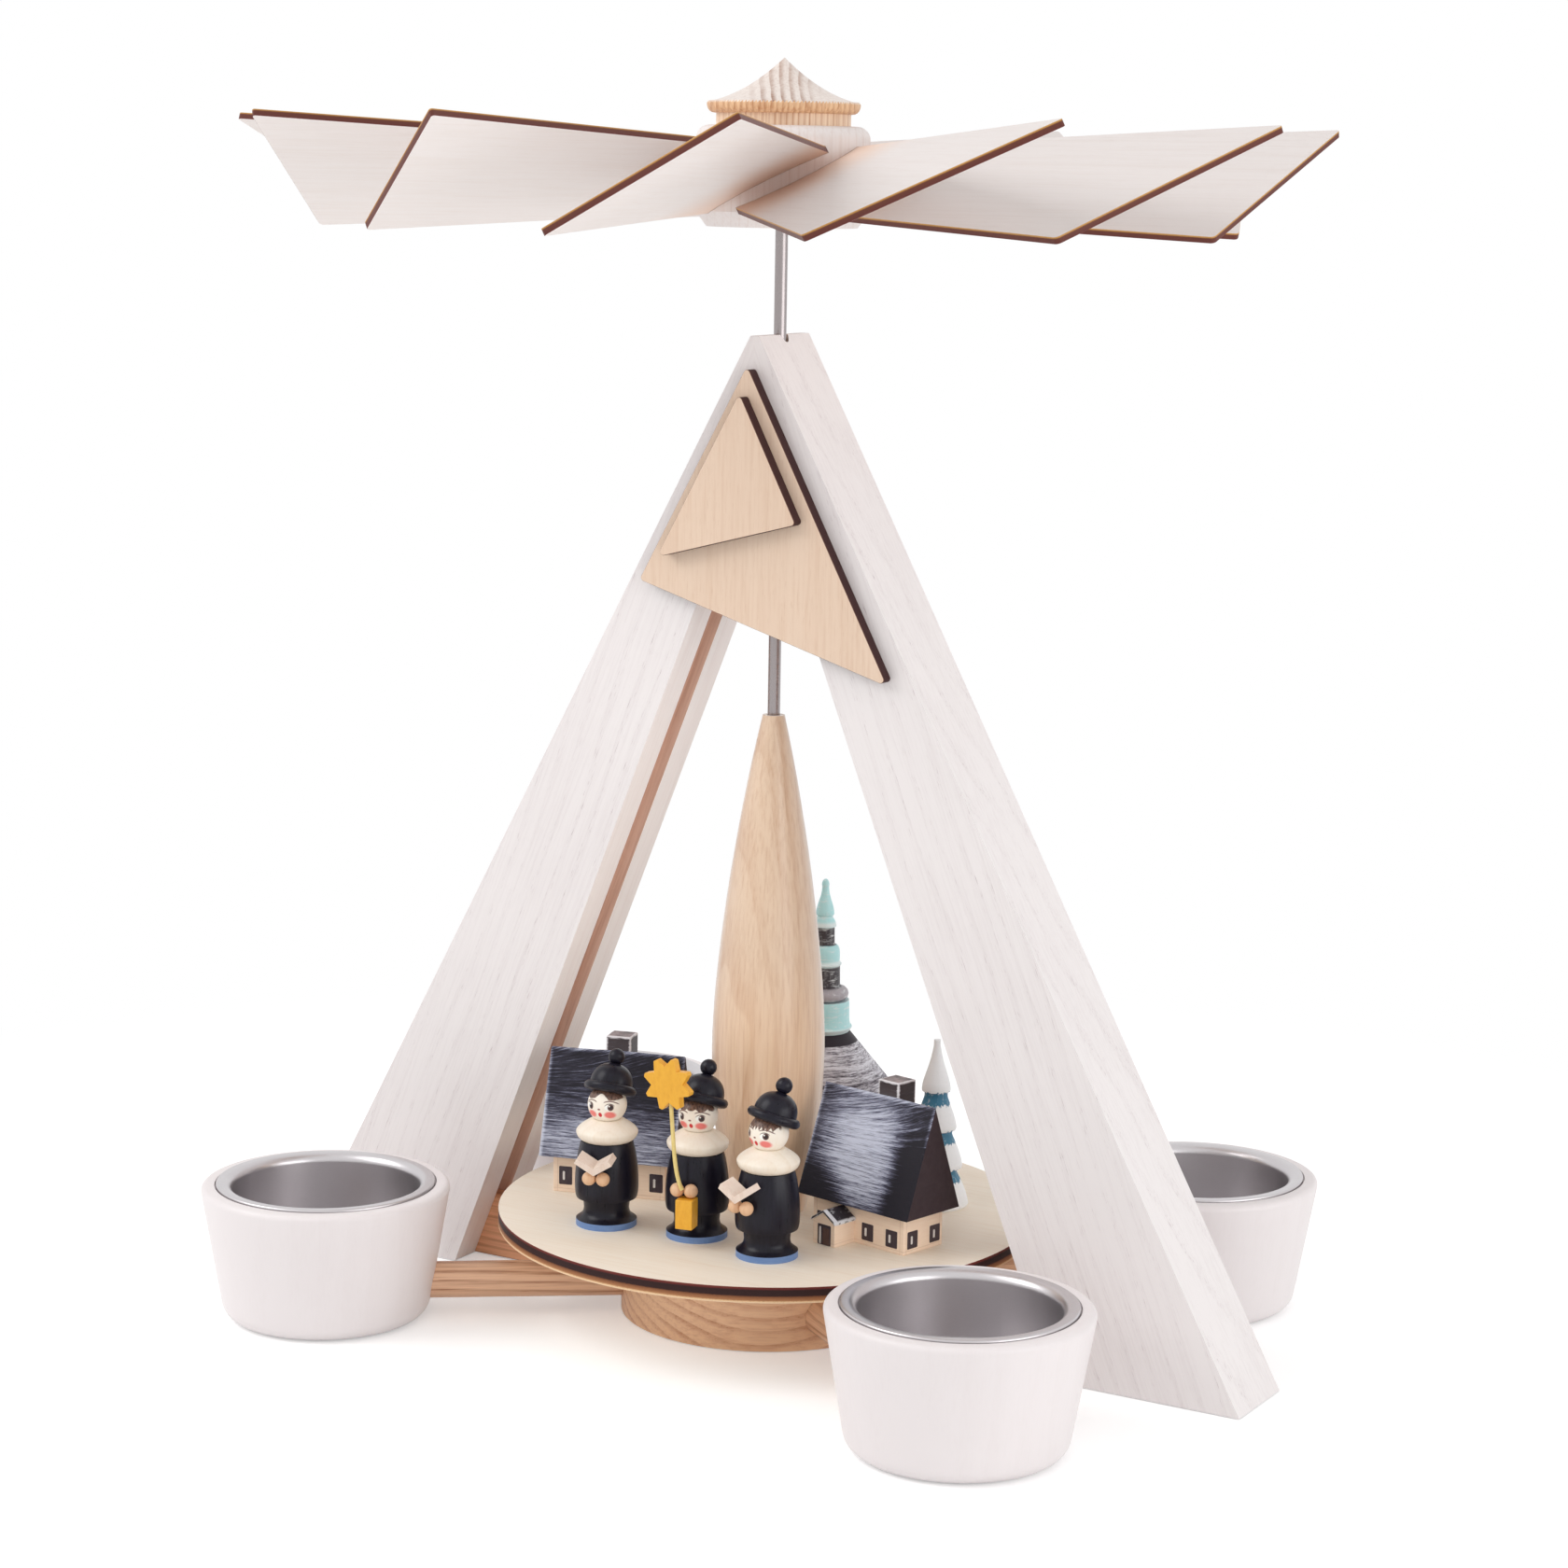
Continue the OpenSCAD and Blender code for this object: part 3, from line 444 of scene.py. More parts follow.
def dry_brush(name, density, shades, turned=False):
    """Near-black paint with dry white strokes; density gives how much snow lies where, from 0 to 1.

    shades are four colours from bare paint to full snow. The strokes run along the piece's own X, or round
    its Z axis where it is turned."""
    g = Graph(name, 0.5)
    g.set("Specular IOR Level", 0.2)
    x, y, z = g.split(g.point())
    along = x
    across = z
    if turned:
        along = g.times(g.math("ARCTAN2", y, x), 10.0)
    else:
        slant = g.fade(z, WALL_H + 12.0, WALL_H + 23.0, 0.32)
        across = g.less(z, g.times(x, slant))
    spot = g.join(g.sum(along, g.times(g.chance(), 80.0)), across, g.times(y, 0.3))
    strokes = g.noise(spot, (0.1, 2.6, 1.0), 5.0, 0.72)
    fine = g.noise(spot, (0.4, 9.0, 3.0), 3.0, 0.65)
    amount = g.sum(g.times(strokes, 0.6), g.times(fine, 0.4))
    cover = g.sum(g.swing(amount, 2.2), density(g, x, z))
    white = g.fade(cover, 0.16, 0.88)
    colour = g.ramp(white, *zip((0.0, 0.35, 0.7, 1.0), shades))
    return g.finish(colour, amount, 0.1)


def edge_snow(g, x, z):
    """Snow brushed along the roof's ridge and its two sloping ends."""
    end = g.fade(g.absolute(x), ROOF_END - 1.1, ROOF_END - 0.1)
    ridge = g.fade(z, WALL_H + ROOF_H - 1.2, WALL_H + ROOF_H - 0.1)
    return g.times(g.most(end, ridge), 0.3)


def left_snow(g, x, z):
    """Snow on the left house: faint strokes above, and more of it towards the eaves."""
    low = g.fade(z, WALL_H + 18.0, WALL_H + 2.0)
    foot = g.oval(x, z, (-3.0, WALL_H + 3.5), (16.0, 7.0), 0.7)
    bare = g.oval(x, z, (9.0, WALL_H + 17.0), (8.0, 6.0), 0.7)
    amount = g.sum(g.sum(0.26, g.times(low, 0.18)), g.times(foot, 0.22))
    return g.less(g.sum(amount, edge_snow(g, x, z)), g.times(bare, 0.12))


def right_snow(g, x, z):
    """Snow on the right house: dense in the lower middle, dark at the right end and the lower left."""
    patch = g.oval(x, z, (-1.0, WALL_H + 8.0), (12.0, 8.8), 0.9)
    top = g.oval(x, z, (-3.0, WALL_H + 19.5), (15.0, 6.0), 0.7)
    corner = g.times(g.fade(x, 6.0, 12.5), g.fade(z, WALL_H + 19.0, WALL_H + 11.0))
    foot = g.oval(x, z, (-13.0, WALL_H + 1.5), (8.0, 5.0), 0.6)
    amount = g.sum(g.sum(0.12, g.times(patch, 0.66)), g.sum(g.times(top, 0.34), edge_snow(g, x, z)))
    return g.less(amount, g.most(g.times(corner, 0.55), g.times(foot, 0.4)))


def church_snow(g, x, z):
    """Snow on the church's roof, in rings of uneven strength, with a bare collar below the tower."""
    rings = g.noise(g.join(0.0, 0.0, z), (1.0, 1.0, 0.55), 2.0)
    tower_foot = (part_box("church_tower")[0].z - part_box("church_roof")[0].z) / MM
    collar = g.fade(z, tower_foot - CHURCH_COLLAR - 0.3, tower_foot - CHURCH_COLLAR + 0.1)
    return g.less(g.sum(0.66, g.swing(rings, 1.3)), g.times(collar, 0.8))


def chimney_paint(name, side):
    """Brown-black paint on a chimney, with snow brushed along its edges and over its top."""
    g = Graph(name, 0.5)
    spot = g.point()
    x, y, z = g.split(spot)
    half_x, half_y = CHIMNEY_HALF
    from_x = g.less(half_x, g.absolute(g.less(x, CHIMNEY_X[side])))
    from_y = g.less(half_y, g.absolute(g.less(y, half_y)))
    from_top = g.less(WALL_H + ROOF_H + CHIMNEY_RISE, z)
    near = g.math("MINIMUM", from_x, from_y)
    far = g.most(from_x, from_y)
    edge = g.most(near, g.math("MINIMUM", far, from_top))
    grit = g.noise(spot, (0.5, 0.5, 2.2), 4.0, 0.65)
    smear = g.noise(spot, (0.3, 0.3, 3.0), 4.0, 0.65)
    white = g.fade(g.sum(edge, g.swing(grit, 0.9)), 0.6, 0.15)
    top = g.times(g.fade(from_top, 0.3, 0.1), g.fade(smear, 0.3, 0.7))
    front = g.fade(smear, 0.55, 0.75, 0.35)
    colour = g.mix(front, tone(52, 40, 44), tone(120, 112, 126))
    colour = g.mix(top, colour, tone(158, 140, 140))
    colour = g.mix(white, colour, tone(226, 222, 226))
    return g.finish(colour, grit, 0.08)


def porch_paint(name):
    """Black paint on the porch's roof, with a white strip along its front and white smears behind."""
    g = Graph(name, 0.5)
    spot = g.point()
    x, y = g.split(spot)[:2]
    behind = g.sum(y, PORCH_FRONT + 0.5)
    smear = g.noise(spot, (1.1, 0.6, 1.1), 4.0, 0.65)
    strip = g.band(behind, 0.12, 1.25, 0.08)
    eave = g.times(g.fade(g.absolute(g.less(x, PORCH_X)), 2.9, 3.4), g.fade(smear, 0.35, 0.5))
    white = g.most(strip, g.most(eave, g.fade(smear, 0.56, 0.68, 0.6)))
    return g.finish(g.mix(white, tone(46, 40, 46), tone(230, 230, 234)), smear, 0.08)


def walls(name):
    """Cream wall boards with faint engraved joint lines near the corners and the foot."""
    g = Graph(name, 0.55)
    spot = g.point()
    x, y, z = g.split(spot)
    fibres = g.noise(spot, (0.25, 0.25, 3.0), 4.0, 0.6)
    side = g.absolute(x)
    deep = g.absolute(y)
    lines = g.band(z, 0.75, 0.85, 0.08)
    lines = g.most(lines, g.times(g.band(side, 11.9, 12.0, 0.08), g.fade(deep, 6.2, 6.24)))
    lines = g.most(lines, g.times(g.band(deep, 5.25, 5.35, 0.08), g.fade(side, 12.9, 12.95)))
    colour = g.mix(g.fade(fibres, 0.35, 0.75, 0.5), tone(255, 230, 206), tone(246, 214, 188))
    colour = g.mix(g.times(lines, 0.4), colour, tone(182, 138, 110))
    return g.finish(colour, g.less(fibres, lines), 0.05)


def stripes(name, cuts, colours, drag, speck, roughness=0.42, hems=(), rings=0.0):
    """Paint whose colour changes with height: cuts are heights in mm, with one more colour than cuts.

    drag is how far upright brush strokes pull a change, in mm, and speck the share of pale worn spots.
    hems are heights above which white is brushed on, and rings the share of white strokes round the axis."""
    g = Graph(name, roughness)
    spot = g.point()
    z = g.split(spot)[2]
    strokes = g.noise(spot, (1.5, 1.5, 0.16), 4.0, 0.65)
    spots = g.noise(spot, (1.1, 1.1, 1.4), 4.0, 0.7)
    edge = g.sum(z, g.swing(strokes, drag))
    colour = colours[0]
    for cut, above in zip(cuts, colours[1:]):
        colour = g.mix(g.fade(edge, cut - 0.15, cut + 0.15), colour, above)
    pale = g.times(g.most(g.fade(spots, 0.56, 0.72), g.fade(strokes, 0.55, 0.75)), speck)
    for hem in hems:
        pale = g.most(pale, g.times(g.band(z, hem, hem + HEM_REACH, 0.45), 0.75))
    if rings:
        round_strokes = g.noise(spot, (0.4, 0.4, 1.5), 2.0, 0.6)
        pale = g.most(pale, g.fade(round_strokes, 0.5, 0.74, rings))
    return g.finish(g.mix(pale, colour, tone(236, 240, 240)), g.sum(strokes, g.times(spots, 0.5)), 0.08)


def face_paint(name, low, parting, comb_size, comb_depth, taper):
    """A turned wooden head with a painted face; X looks forward and Y is the figure's left.

    Lengths are in radii of the head. The hair comes down to low and rises by parting at its middle. Its edge
    is cut in locks of a half width and a depth; taper is 1 for pointed locks and more for rounder ones."""
    g = Graph(name, 0.4)
    spot = g.point(HEAD_R * MM)
    x, y, z = g.split(spot)
    front = g.fade(x, 0.02, 0.12)
    side = g.absolute(y)
    hand = g.math("SIGN", y)
    fibres = g.noise(spot, (5.0, 5.0, 1.0), 4.0, 0.6)
    colour = g.mix(g.fade(fibres, 0.4, 0.8, 0.4), tone(252, 242, 228), tone(240, 220, 194))

    def layer(base, mask, over, strength=1.0):
        return g.mix(g.times(g.times(mask, front), strength), base, over)

    white = g.sum(side, g.times(hand, 0.1))
    glint = g.sum(side, g.times(hand, 0.06))
    # Cheeks, whites, irises, pupils, glints, nose and mouth
    marks = (
        (side, (0.47, -0.37), (0.25, 0.185), 0.3, tone(242, 112, 106), 0.92),
        (white, (0.53, 0.03), (0.17, 0.14), 0.15, tone(255, 253, 248), 1.0),
        (side, (0.53, 0.035), (0.135, 0.165), 0.14, tone(84, 50, 44), 1.0),
        (side, (0.55, 0.03), (0.07, 0.09), 0.3, tone(34, 20, 20), 1.0),
        (glint, (0.53, 0.1), (0.035, 0.035), 0.3, tone(250, 246, 240), 1.0),
        (y, (-0.05, -0.08), (0.075, 0.045), 0.4, tone(140, 84, 70), 1.0),
        (y, (0.0, -0.37), (0.1, 0.125), 0.2, tone(210, 34, 42), 1.0),
    )
    for across, middle, half, soft, over, strength in marks:
        colour = layer(colour, g.oval(across, z, middle, half, soft), over, strength)
    outer = g.oval(glint, z, (0.53, 0.04), (0.235, 0.2), 0.1)
    lid = g.most(g.less(outer, g.oval(glint, z, (0.53, 0.015), (0.24, 0.185), 0.1)), 0.0)
    colour = layer(colour, g.times(lid, g.fade(z, 0.06, 0.12)), tone(70, 42, 40))
    arch = g.less(side, 0.44)
    brow = g.less(z, g.less(0.35, g.times(arch, arch)))
    brow_mask = g.times(g.band(brow, -0.024, 0.024, 0.02), g.band(side, 0.2, 0.84, 0.05))
    colour = layer(colour, brow_mask, tone(104, 60, 54))
    lock = g.over(g.math("PINGPONG", g.sum(y, 0.04), comb_size), comb_size)
    comb = g.times(g.math("POWER", lock, taper), comb_depth)
    uneven = g.swing(g.noise(g.join(y, 0.0, 0.0), (5.0, 1.0, 1.0), 1.0), comb_depth)
    rise = g.sum(g.fade(side, 0.42, 0.02, parting), uneven)
    hair = g.fade(g.less(z, g.sum(comb, rise)), low, low + 0.04)
    hair = g.times(hair, g.fade(side, 0.96, 0.88))
    shade = g.noise(spot, (9.0, 9.0, 1.6), 3.0)
    locks = g.mix(g.fade(shade, 0.35, 0.7), tone(132, 100, 84), tone(66, 44, 38))
    return g.finish(layer(colour, hair, locks), fibres, 0.02)


# Meshes

def add_object(name, data):
    """A new object in the scene."""
    made = bpy.data.objects.new(name, data)
    bpy.context.scene.collection.objects.link(made)
    return made


def piece(name, shape, materials, place, body, weighted=False):
    """Turns a bmesh into a smooth object in its own frame, riding on a body."""
    for face in shape.faces:
        face.smooth = True
    mesh = bpy.data.meshes.new(name)
    shape.to_mesh(mesh)
    shape.free()
    for leftover in ("custom_normal", "sharp_face"):
        if leftover in mesh.attributes:
            mesh.attributes.remove(mesh.attributes[leftover])
    mesh.set_sharp_from_angle(angle=CREASE)
    for material in materials:
        mesh.materials.append(material)
    made = add_object(name, mesh)
    made.matrix_world = place
    if weighted:
        normals = made.modifiers.new("weighted_normals", "WEIGHTED_NORMAL")
        normals.keep_sharp = True
    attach(made, body)
    return made


def node_shape(name, place):
    """A welded copy of a CAD node's mesh in a frame of its own."""
    shape = bmesh.new()
    shape.from_mesh(NODES[name].data)
    bmesh.ops.remove_doubles(shape, verts=shape.verts, dist=WELD)
    bmesh.ops.transform(shape, matrix=place.inverted(), verts=shape.verts)
    for face in shape.faces:
        face.material_index = 0
    return shape


def soften(shape, width, segments=3, upright=False):
    """Joins flat triangles and rounds the convex edges by a width in mm, or only those along Z."""
    bmesh.ops.dissolve_limit(shape, angle_limit=FLAT, verts=shape.verts, edges=shape.edges)
    edges = []
    for edge in shape.edges:
        along = (edge.verts[1].co - edge.verts[0].co).normalized()
        sharp = edge.is_manifold and edge.is_convex and edge.calc_face_angle() > CREASE
        if sharp and (not upright or abs(along.z) > UPRIGHT):
            edges.append(edge)
    bmesh.ops.bevel(shape, geom=edges, offset=width * MM, offset_type="OFFSET", segments=segments,
                    profile=0.5, affect="EDGES", clamp_overlap=True, material=-1)


def dress(name, materials, place=Matrix(), bevel=0.0, pick=None, corner=0.0):
    """A smooth copy of a CAD node that stands for it.

    pick gives a face's material from its centre in mm and its normal. corner rounds a board's corners."""
    shape = node_shape(name, place)
    if corner:
        soften(shape, corner, segments=5, upright=True)
    if bevel:
        soften(shape, bevel)
    if pick:
        shape.normal_update()
        for face in shape.faces:
            face.material_index = pick(face.calc_center_median() / MM, face.normal)
    made = piece(name + "_look", shape, materials, place, NODES[name]["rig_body"],
                 weighted=bevel > 0.0)
    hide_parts(name)
    return made


def frame_of(z_axis, y_axis, origin=(0.0, 0.0, 0.0)):
    """A frame with that Z axis, and its Y axis near the other one; the origin is in mm."""
    z = Vector(z_axis).normalized()
    x = Vector(y_axis).cross(z).normalized()
    turn = Matrix((x, z.cross(x), z)).transposed().to_4x4()
    return Matrix.Translation(Vector(origin) * MM) @ turn


def spin(degrees, axis):
    return Matrix.Rotation(math.radians(degrees), 4, axis)


def middle_of(name):
    """The middle of a CAD node's box, in mm."""
    low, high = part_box(name)
    return (low + high) / 2.0 / MM


def on_disc(name, height=0.0):
    """The frame of a piece on the disc."""
    distance, angle, turn = PLACES[name]
    at = math.radians(angle)
    spot = Vector((distance * math.cos(at), distance * math.sin(at), DISC_TOP + height)) * MM
    return Matrix.Translation(spot) @ spin(turn, "Z")


def skin(shape, rings):
    """Joins rings of points that have as many points each; a ring may also be a single point."""
    count = max(len(ring) for ring in rings)
    faces = []
    for low, high in zip(rings, rings[1:]):
        for k in range(count):
            n = (k + 1) % count
            corners = [low[k % len(low)], low[n % len(low)], high[n % len(high)], high[k % len(high)]]
            faces.append(shape.faces.new(list(dict.fromkeys(corners))))
    return faces


def slab(shape, outline, thick, place, material):
    """Adds a thin plate with a rounded rim: an outline in mm on X and Y, raised along Z."""
    low = [shape.verts.new(place @ (Vector((x, y, 0.0)) * MM)) for x, y in outline]
    middle = Vector((sum(p[0] for p in outline), sum(p[1] for p in outline), 0.0)) / len(outline)
    inset = 0.93
    top = []
    for x, y in outline:
        inner = middle + (Vector((x, y, 0.0)) - middle) * inset
        top.append(shape.verts.new(place @ ((inner + Vector((0.0, 0.0, thick))) * MM)))
    faces = [shape.faces.new(top), shape.faces.new(list(reversed(low)))]
    for face in faces + skin(shape, [low, top]):
        face.material_index = material


def rounded_box(width, height, radius, middle=(0.0, 0.0), steps=4):
    """The outline of a rectangle with round corners, in mm."""
    points = []
    for quarter, (sx, sy) in enumerate(((1, 1), (-1, 1), (-1, -1), (1, -1))):
        cx = middle[0] + sx * (width / 2.0 - radius)
        cy = middle[1] + sy * (height / 2.0 - radius)
        for i in range(steps + 1):
            angle = math.radians(90.0 * (quarter + i / steps))
            points.append((cx + radius * math.cos(angle), cy + radius * math.sin(angle)))
    return points


# Fixed frame

def leg_material(spot, normal):
    """Which wood a leg's face gets: glazed outside 0, inner face 1, groove 2; spot is in mm. The inner face
    gets a paler, pinker copy of the glazed ash: painted light, tinted pink as painted shade.
    """
    inner = normal.x * spot.x < 0.0 and abs(normal.x) > FACING
    side = abs(normal.y) > FACING and abs(spot.y) < GROOVE_HALF + 0.5
    depth = abs(spot.x) - (LEG_APEX_Z - spot.z) * math.tan(math.radians(LEG_SLANT))
    if side or (inner and depth > 1.0):
        return 2
    return int(inner)


def make_legs():
    grain = dict(ring=3.7, heart=(-40.0, 60.0), sway=1.5, lean=LEG_SLANT, depth=0.012, dash=0.3)
    ash = wood("white_glazed_ash", tone(241, 235, 234), tone(186, 170, 172), late=0.07, wide=0.32,
               fibre=0.14, pores=0.6, **grain)
    # The inner face's copy of the ash is paler and pinker: painted light, tinted pink as painted shade
    inner = wood("pink_glazed_ash", tone(252, 244, 241), tone(222, 202, 196), late=0.1, wide=0.3, fibre=0.2,
                 **grain)
    groove = wood("groove_wood", tone(240, 208, 190), tone(194, 148, 126), late=0.4, fibre=0.4, **grain)
    for name in ("leg_left", "leg_right"):
        dress(name, [ash, inner, groove], bevel=0.5, pick=leg_material)


def make_base():
    oiled = wood("oiled_wood_hub", tone(255, 210, 170), tone(194, 122, 86), ring=2.3, heart=(8.0, -46.0),
                 late=0.5, wide=0.45, sway=1.4, fibre=0.35, pores=0.5, roughness=0.42)
    grain = dict(ring=1.9, heart=(9.0, -24.0), late=0.5, wide=0.45, sway=1.6, fibre=0.5, pores=0.5,
                 roughness=0.4)
    oiled_arm = wood("oiled_wood_arm", tone(248, 202, 166), tone(168, 106, 74), **grain)
    oiled_tie = wood("oiled_wood_tie", tone(250, 186, 142), tone(164, 96, 62), **grain)
    turn = math.radians(HUB_GRAIN_TURN)
    dress("base_hub", [oiled], frame_of((math.cos(turn), math.sin(turn), 0.0), UP))
    for name, side in (("tie_left", -1.0), ("tie_right", 1.0)):
        dress(name, [oiled_tie], frame_of((side, 0.0, 0.0), UP), bevel=0.5)
    for corner in CORNERS:
        out = middle_of("cup_" + corner)
        out.z = 0.0
        dress("arm_" + corner, [oiled_arm], frame_of(out, UP))
    cup_metal = steel("pivot_steel", tone(170, 168, 168), 0.35, (3.0, 3.0, 12.0))
    for name in ("pivot_cup", "guide_bush"):
        dress(name, [cup_metal])


def lathe(shape, outline, steps=96):
    """Adds a turned form from an outline of radius and height in mm; it starts and ends on the axis."""
    rings = []
    for radius, height in outline:
        ring = []
        for k in range(steps if radius else 1):
            angle = math.tau * k / steps
            spot = Vector((radius * math.cos(angle), radius * math.sin(angle), height))
            ring.append(shape.verts.new(spot * MM))
        rings.append(ring)
    skin(shape, rings)


def bend(middle, radius, start, end, steps=8):
    """Points of an arc about a middle, between two angles in degrees."""
    points = []
    for i in range(steps + 1):
        angle = math.radians(start + (end - start) * i / steps)
        points.append((middle[0] + radius * math.cos(angle), middle[1] + radius * math.sin(angle)))
    return points


def insert_outline():
    """A drawn metal cup with a rolled mouth and round inner corners."""
    foot_round = 1.5
    lip = 0.4
    mouth = 1.9
    corner = 2.2
    open_r = INSERT_R - INSERT_WALL
    floor = INSERT_FOOT + INSERT_WALL
    outline = [(0.0, INSERT_FOOT)]
    outline += bend((INSERT_R - foot_round, INSERT_FOOT + foot_round), foot_round, -90.0, 0.0)
    outline += [(INSERT_R, INSERT_FLANGE_Z), (FLANGE_R, INSERT_FLANGE_Z)]
    outline += bend((FLANGE_R - lip, INSERT_TOP - lip), lip, 0.0, 90.0)
    outline += bend((open_r + mouth, INSERT_TOP - mouth), mouth, 90.0, 180.0)
    outline += bend((open_r - corner, floor + corner), corner, 0.0, -90.0)
    outline += [(0.0, floor)]
    return outline


def make_cups():
    ash = wood("white_glazed_cup", tone(238, 231, 231), tone(208, 194, 192), ring=6.0, heart=(45.0, 30.0),
               late=0.04, sway=1.0, fibre=0.06, pores=0.04, roughness=0.42, depth=0.01)
    metal = steel("insert_steel", tone(210, 206, 208), 0.3, (1.5, 1.5, 9.0))
    for corner in CORNERS:
        middle = middle_of("cup_" + corner)
        place = frame_of(UP, (0.0, 1.0, 0.0), (middle.x, middle.y, 0.0))
        dress("cup_" + corner, [ash], place)
        name = "insert_" + corner
        shape = bmesh.new()
        lathe(shape, insert_outline())
        made = piece(name + "_look", shape, [metal], place, NODES[name]["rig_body"])
        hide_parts(name)


def board_material(spot, normal):
    """Which look a board's face gets: face 0, edge 1."""
    return int(abs(normal.z) < FACING)


def make_plates():
    face = veneer("plate_birch", tone(235, 209, 186), tone(210, 172, 142), (1.6, 0.07, 1.6))
    layers = ((0.0, tone(64, 38, 38)), (0.85, tone(62, 36, 36)), (1.0, tone(96, 56, 48)))
    edge = burnt("plate_edge", 3.0, layers)
    for name in ("plate_large", "plate_small"):
        place = frame_of((0.0, -1.0, 0.0), UP, middle_of(name))
        dress(name, [face, edge], place, bevel=0.15, pick=board_material)


# Rotor: shaft, trunk, disc and wheel

def make_axle():
    dress("shaft", [steel("shaft_steel", tone(168, 160, 160), 0.26, (4.0, 4.0, 0.2))])
    maple = wood("honey_maple", tone(247, 210, 174), tone(206, 150, 106), ring=3.4, heart=(30.0, 60.0),
                 late=0.3, wide=0.5, sway=2.2, fibre=0.42, pores=0.06, roughness=0.36, coat=0.45,
                 belt=(tone(239, 246, 255), 70.0, 220.0, 1.0, 16.0), sheen=0.8)
    dress("trunk", [maple])


def make_disc():
    face = veneer("disc_birch", tone(252, 240, 223), tone(236, 212, 184), (0.05, 1.2, 1.2))
    layers = ((0.0, tone(246, 216, 180)), (0.1, tone(236, 196, 150)), (0.16, tone(178, 124, 84)),
              (0.38, tone(136, 86, 56)), (0.46, tone(52, 30, 28)), (0.8, tone(48, 27, 26)),
              (0.88, tone(100, 42, 38)), (1.0, tone(124, 56, 48)))
    edge = burnt("disc_edge", DISC_T, layers, 0.4)
    place = frame_of(UP, (0.0, 1.0, 0.0), (0.0, 0.0, DISC_TOP - DISC_T / 2.0))
    dress("disc", [face, edge], place, pick=board_material)


def blade_material(spot, normal):
    """Which look a blade's face gets: upper side 0, edge 1, underside 2. The two sides are copies of one
    birch: the upper one darker as painted shade, the underside paler as painted light.
    """
    if abs(normal.z) < FACING:
        return 1
    return 0 if normal.z > 0.0 else 2


def make_wheel():
    # The heart lies far out, so the rings show as near-upright lines
    grain = dict(heart=(224.0, 131.0), sway=1.2, depth=0.012)
    # The hub's belt round the blades' height is painted shade and bounce light from the blades
    hub = wood("white_hub", tone(240, 233, 231), tone(206, 178, 164), ring=1.7, late=0.14, wide=0.22,
               fibre=0.2, pores=0.3, belt=(tone(218, 182, 164), 243.0, 252.0, 0.45, 2.0), **grain)
    cap = wood("cap_ash", tone(240, 228, 220), tone(150, 98, 66), ring=2.1, late=0.8, wide=0.6, fibre=0.25,
               roughness=0.48, focus=(HUB_GRAIN_TURN, 2.0, 9.0), **grain)
    rim = wood("cap_rim_ash", tone(242, 204, 162), tone(188, 124, 80), ring=1.2, late=0.5, wide=0.6,
               fibre=0.7, roughness=0.45, **grain)
    ring = wood("ring_ash", tone(246, 220, 192), tone(190, 134, 94), ring=1.2, late=0.45, wide=0.5,
                fibre=0.65, roughness=0.45, **grain)
    dress("wheel_hub", [hub])
    dress("wheel_ring", [ring])
    cone_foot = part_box("wheel_cap")[1].z / MM - CAP_CONE_H - 0.2
    dress("wheel_cap", [cap, rim], pick=lambda spot, normal: int(spot.z < cone_foot))
    # Painted shade and bounce light on both faces of each blade, from 50 mm out in to 14 mm
    root = (tone(238, 204, 182), 50.0, 14.0)
    # One birch in two copies: the upper face darker as painted shade, the underside paler as painted light
    upper = veneer("blade_birch_top", tone(233, 225, 222), tone(214, 197, 188), BLADE_RUN, 0.2, painted_root_shade=root)
    lower = veneer("blade_birch_under", tone(249, 242, 239), tone(230, 212, 200), BLADE_RUN, 0.2, painted_root_shade=root)
    layers = ((0.0, tone(126, 66, 60)), (0.12, tone(100, 52, 46)), (0.72, tone(106, 58, 46)),
              (0.84, tone(184, 132, 72)), (1.0, tone(212, 166, 102)))
    edge = burnt("blade_edge", BLADE_T, layers, 0.4, 0.5, 0.25)
    pitch = spin(BLADE_PITCH, "X")
    for i in range(BLADES):
        turn = spin(360.0 / BLADES * (i + 0.5), "Z")
        place = turn @ Matrix.Translation((0.0, 0.0, BLADE_Z * MM)) @ pitch
        dress("blade_%d" % (i + 1), [upper, edge, lower], place, bevel=0.12, pick=blade_material, corner=0.9)


# Rotor: carolers

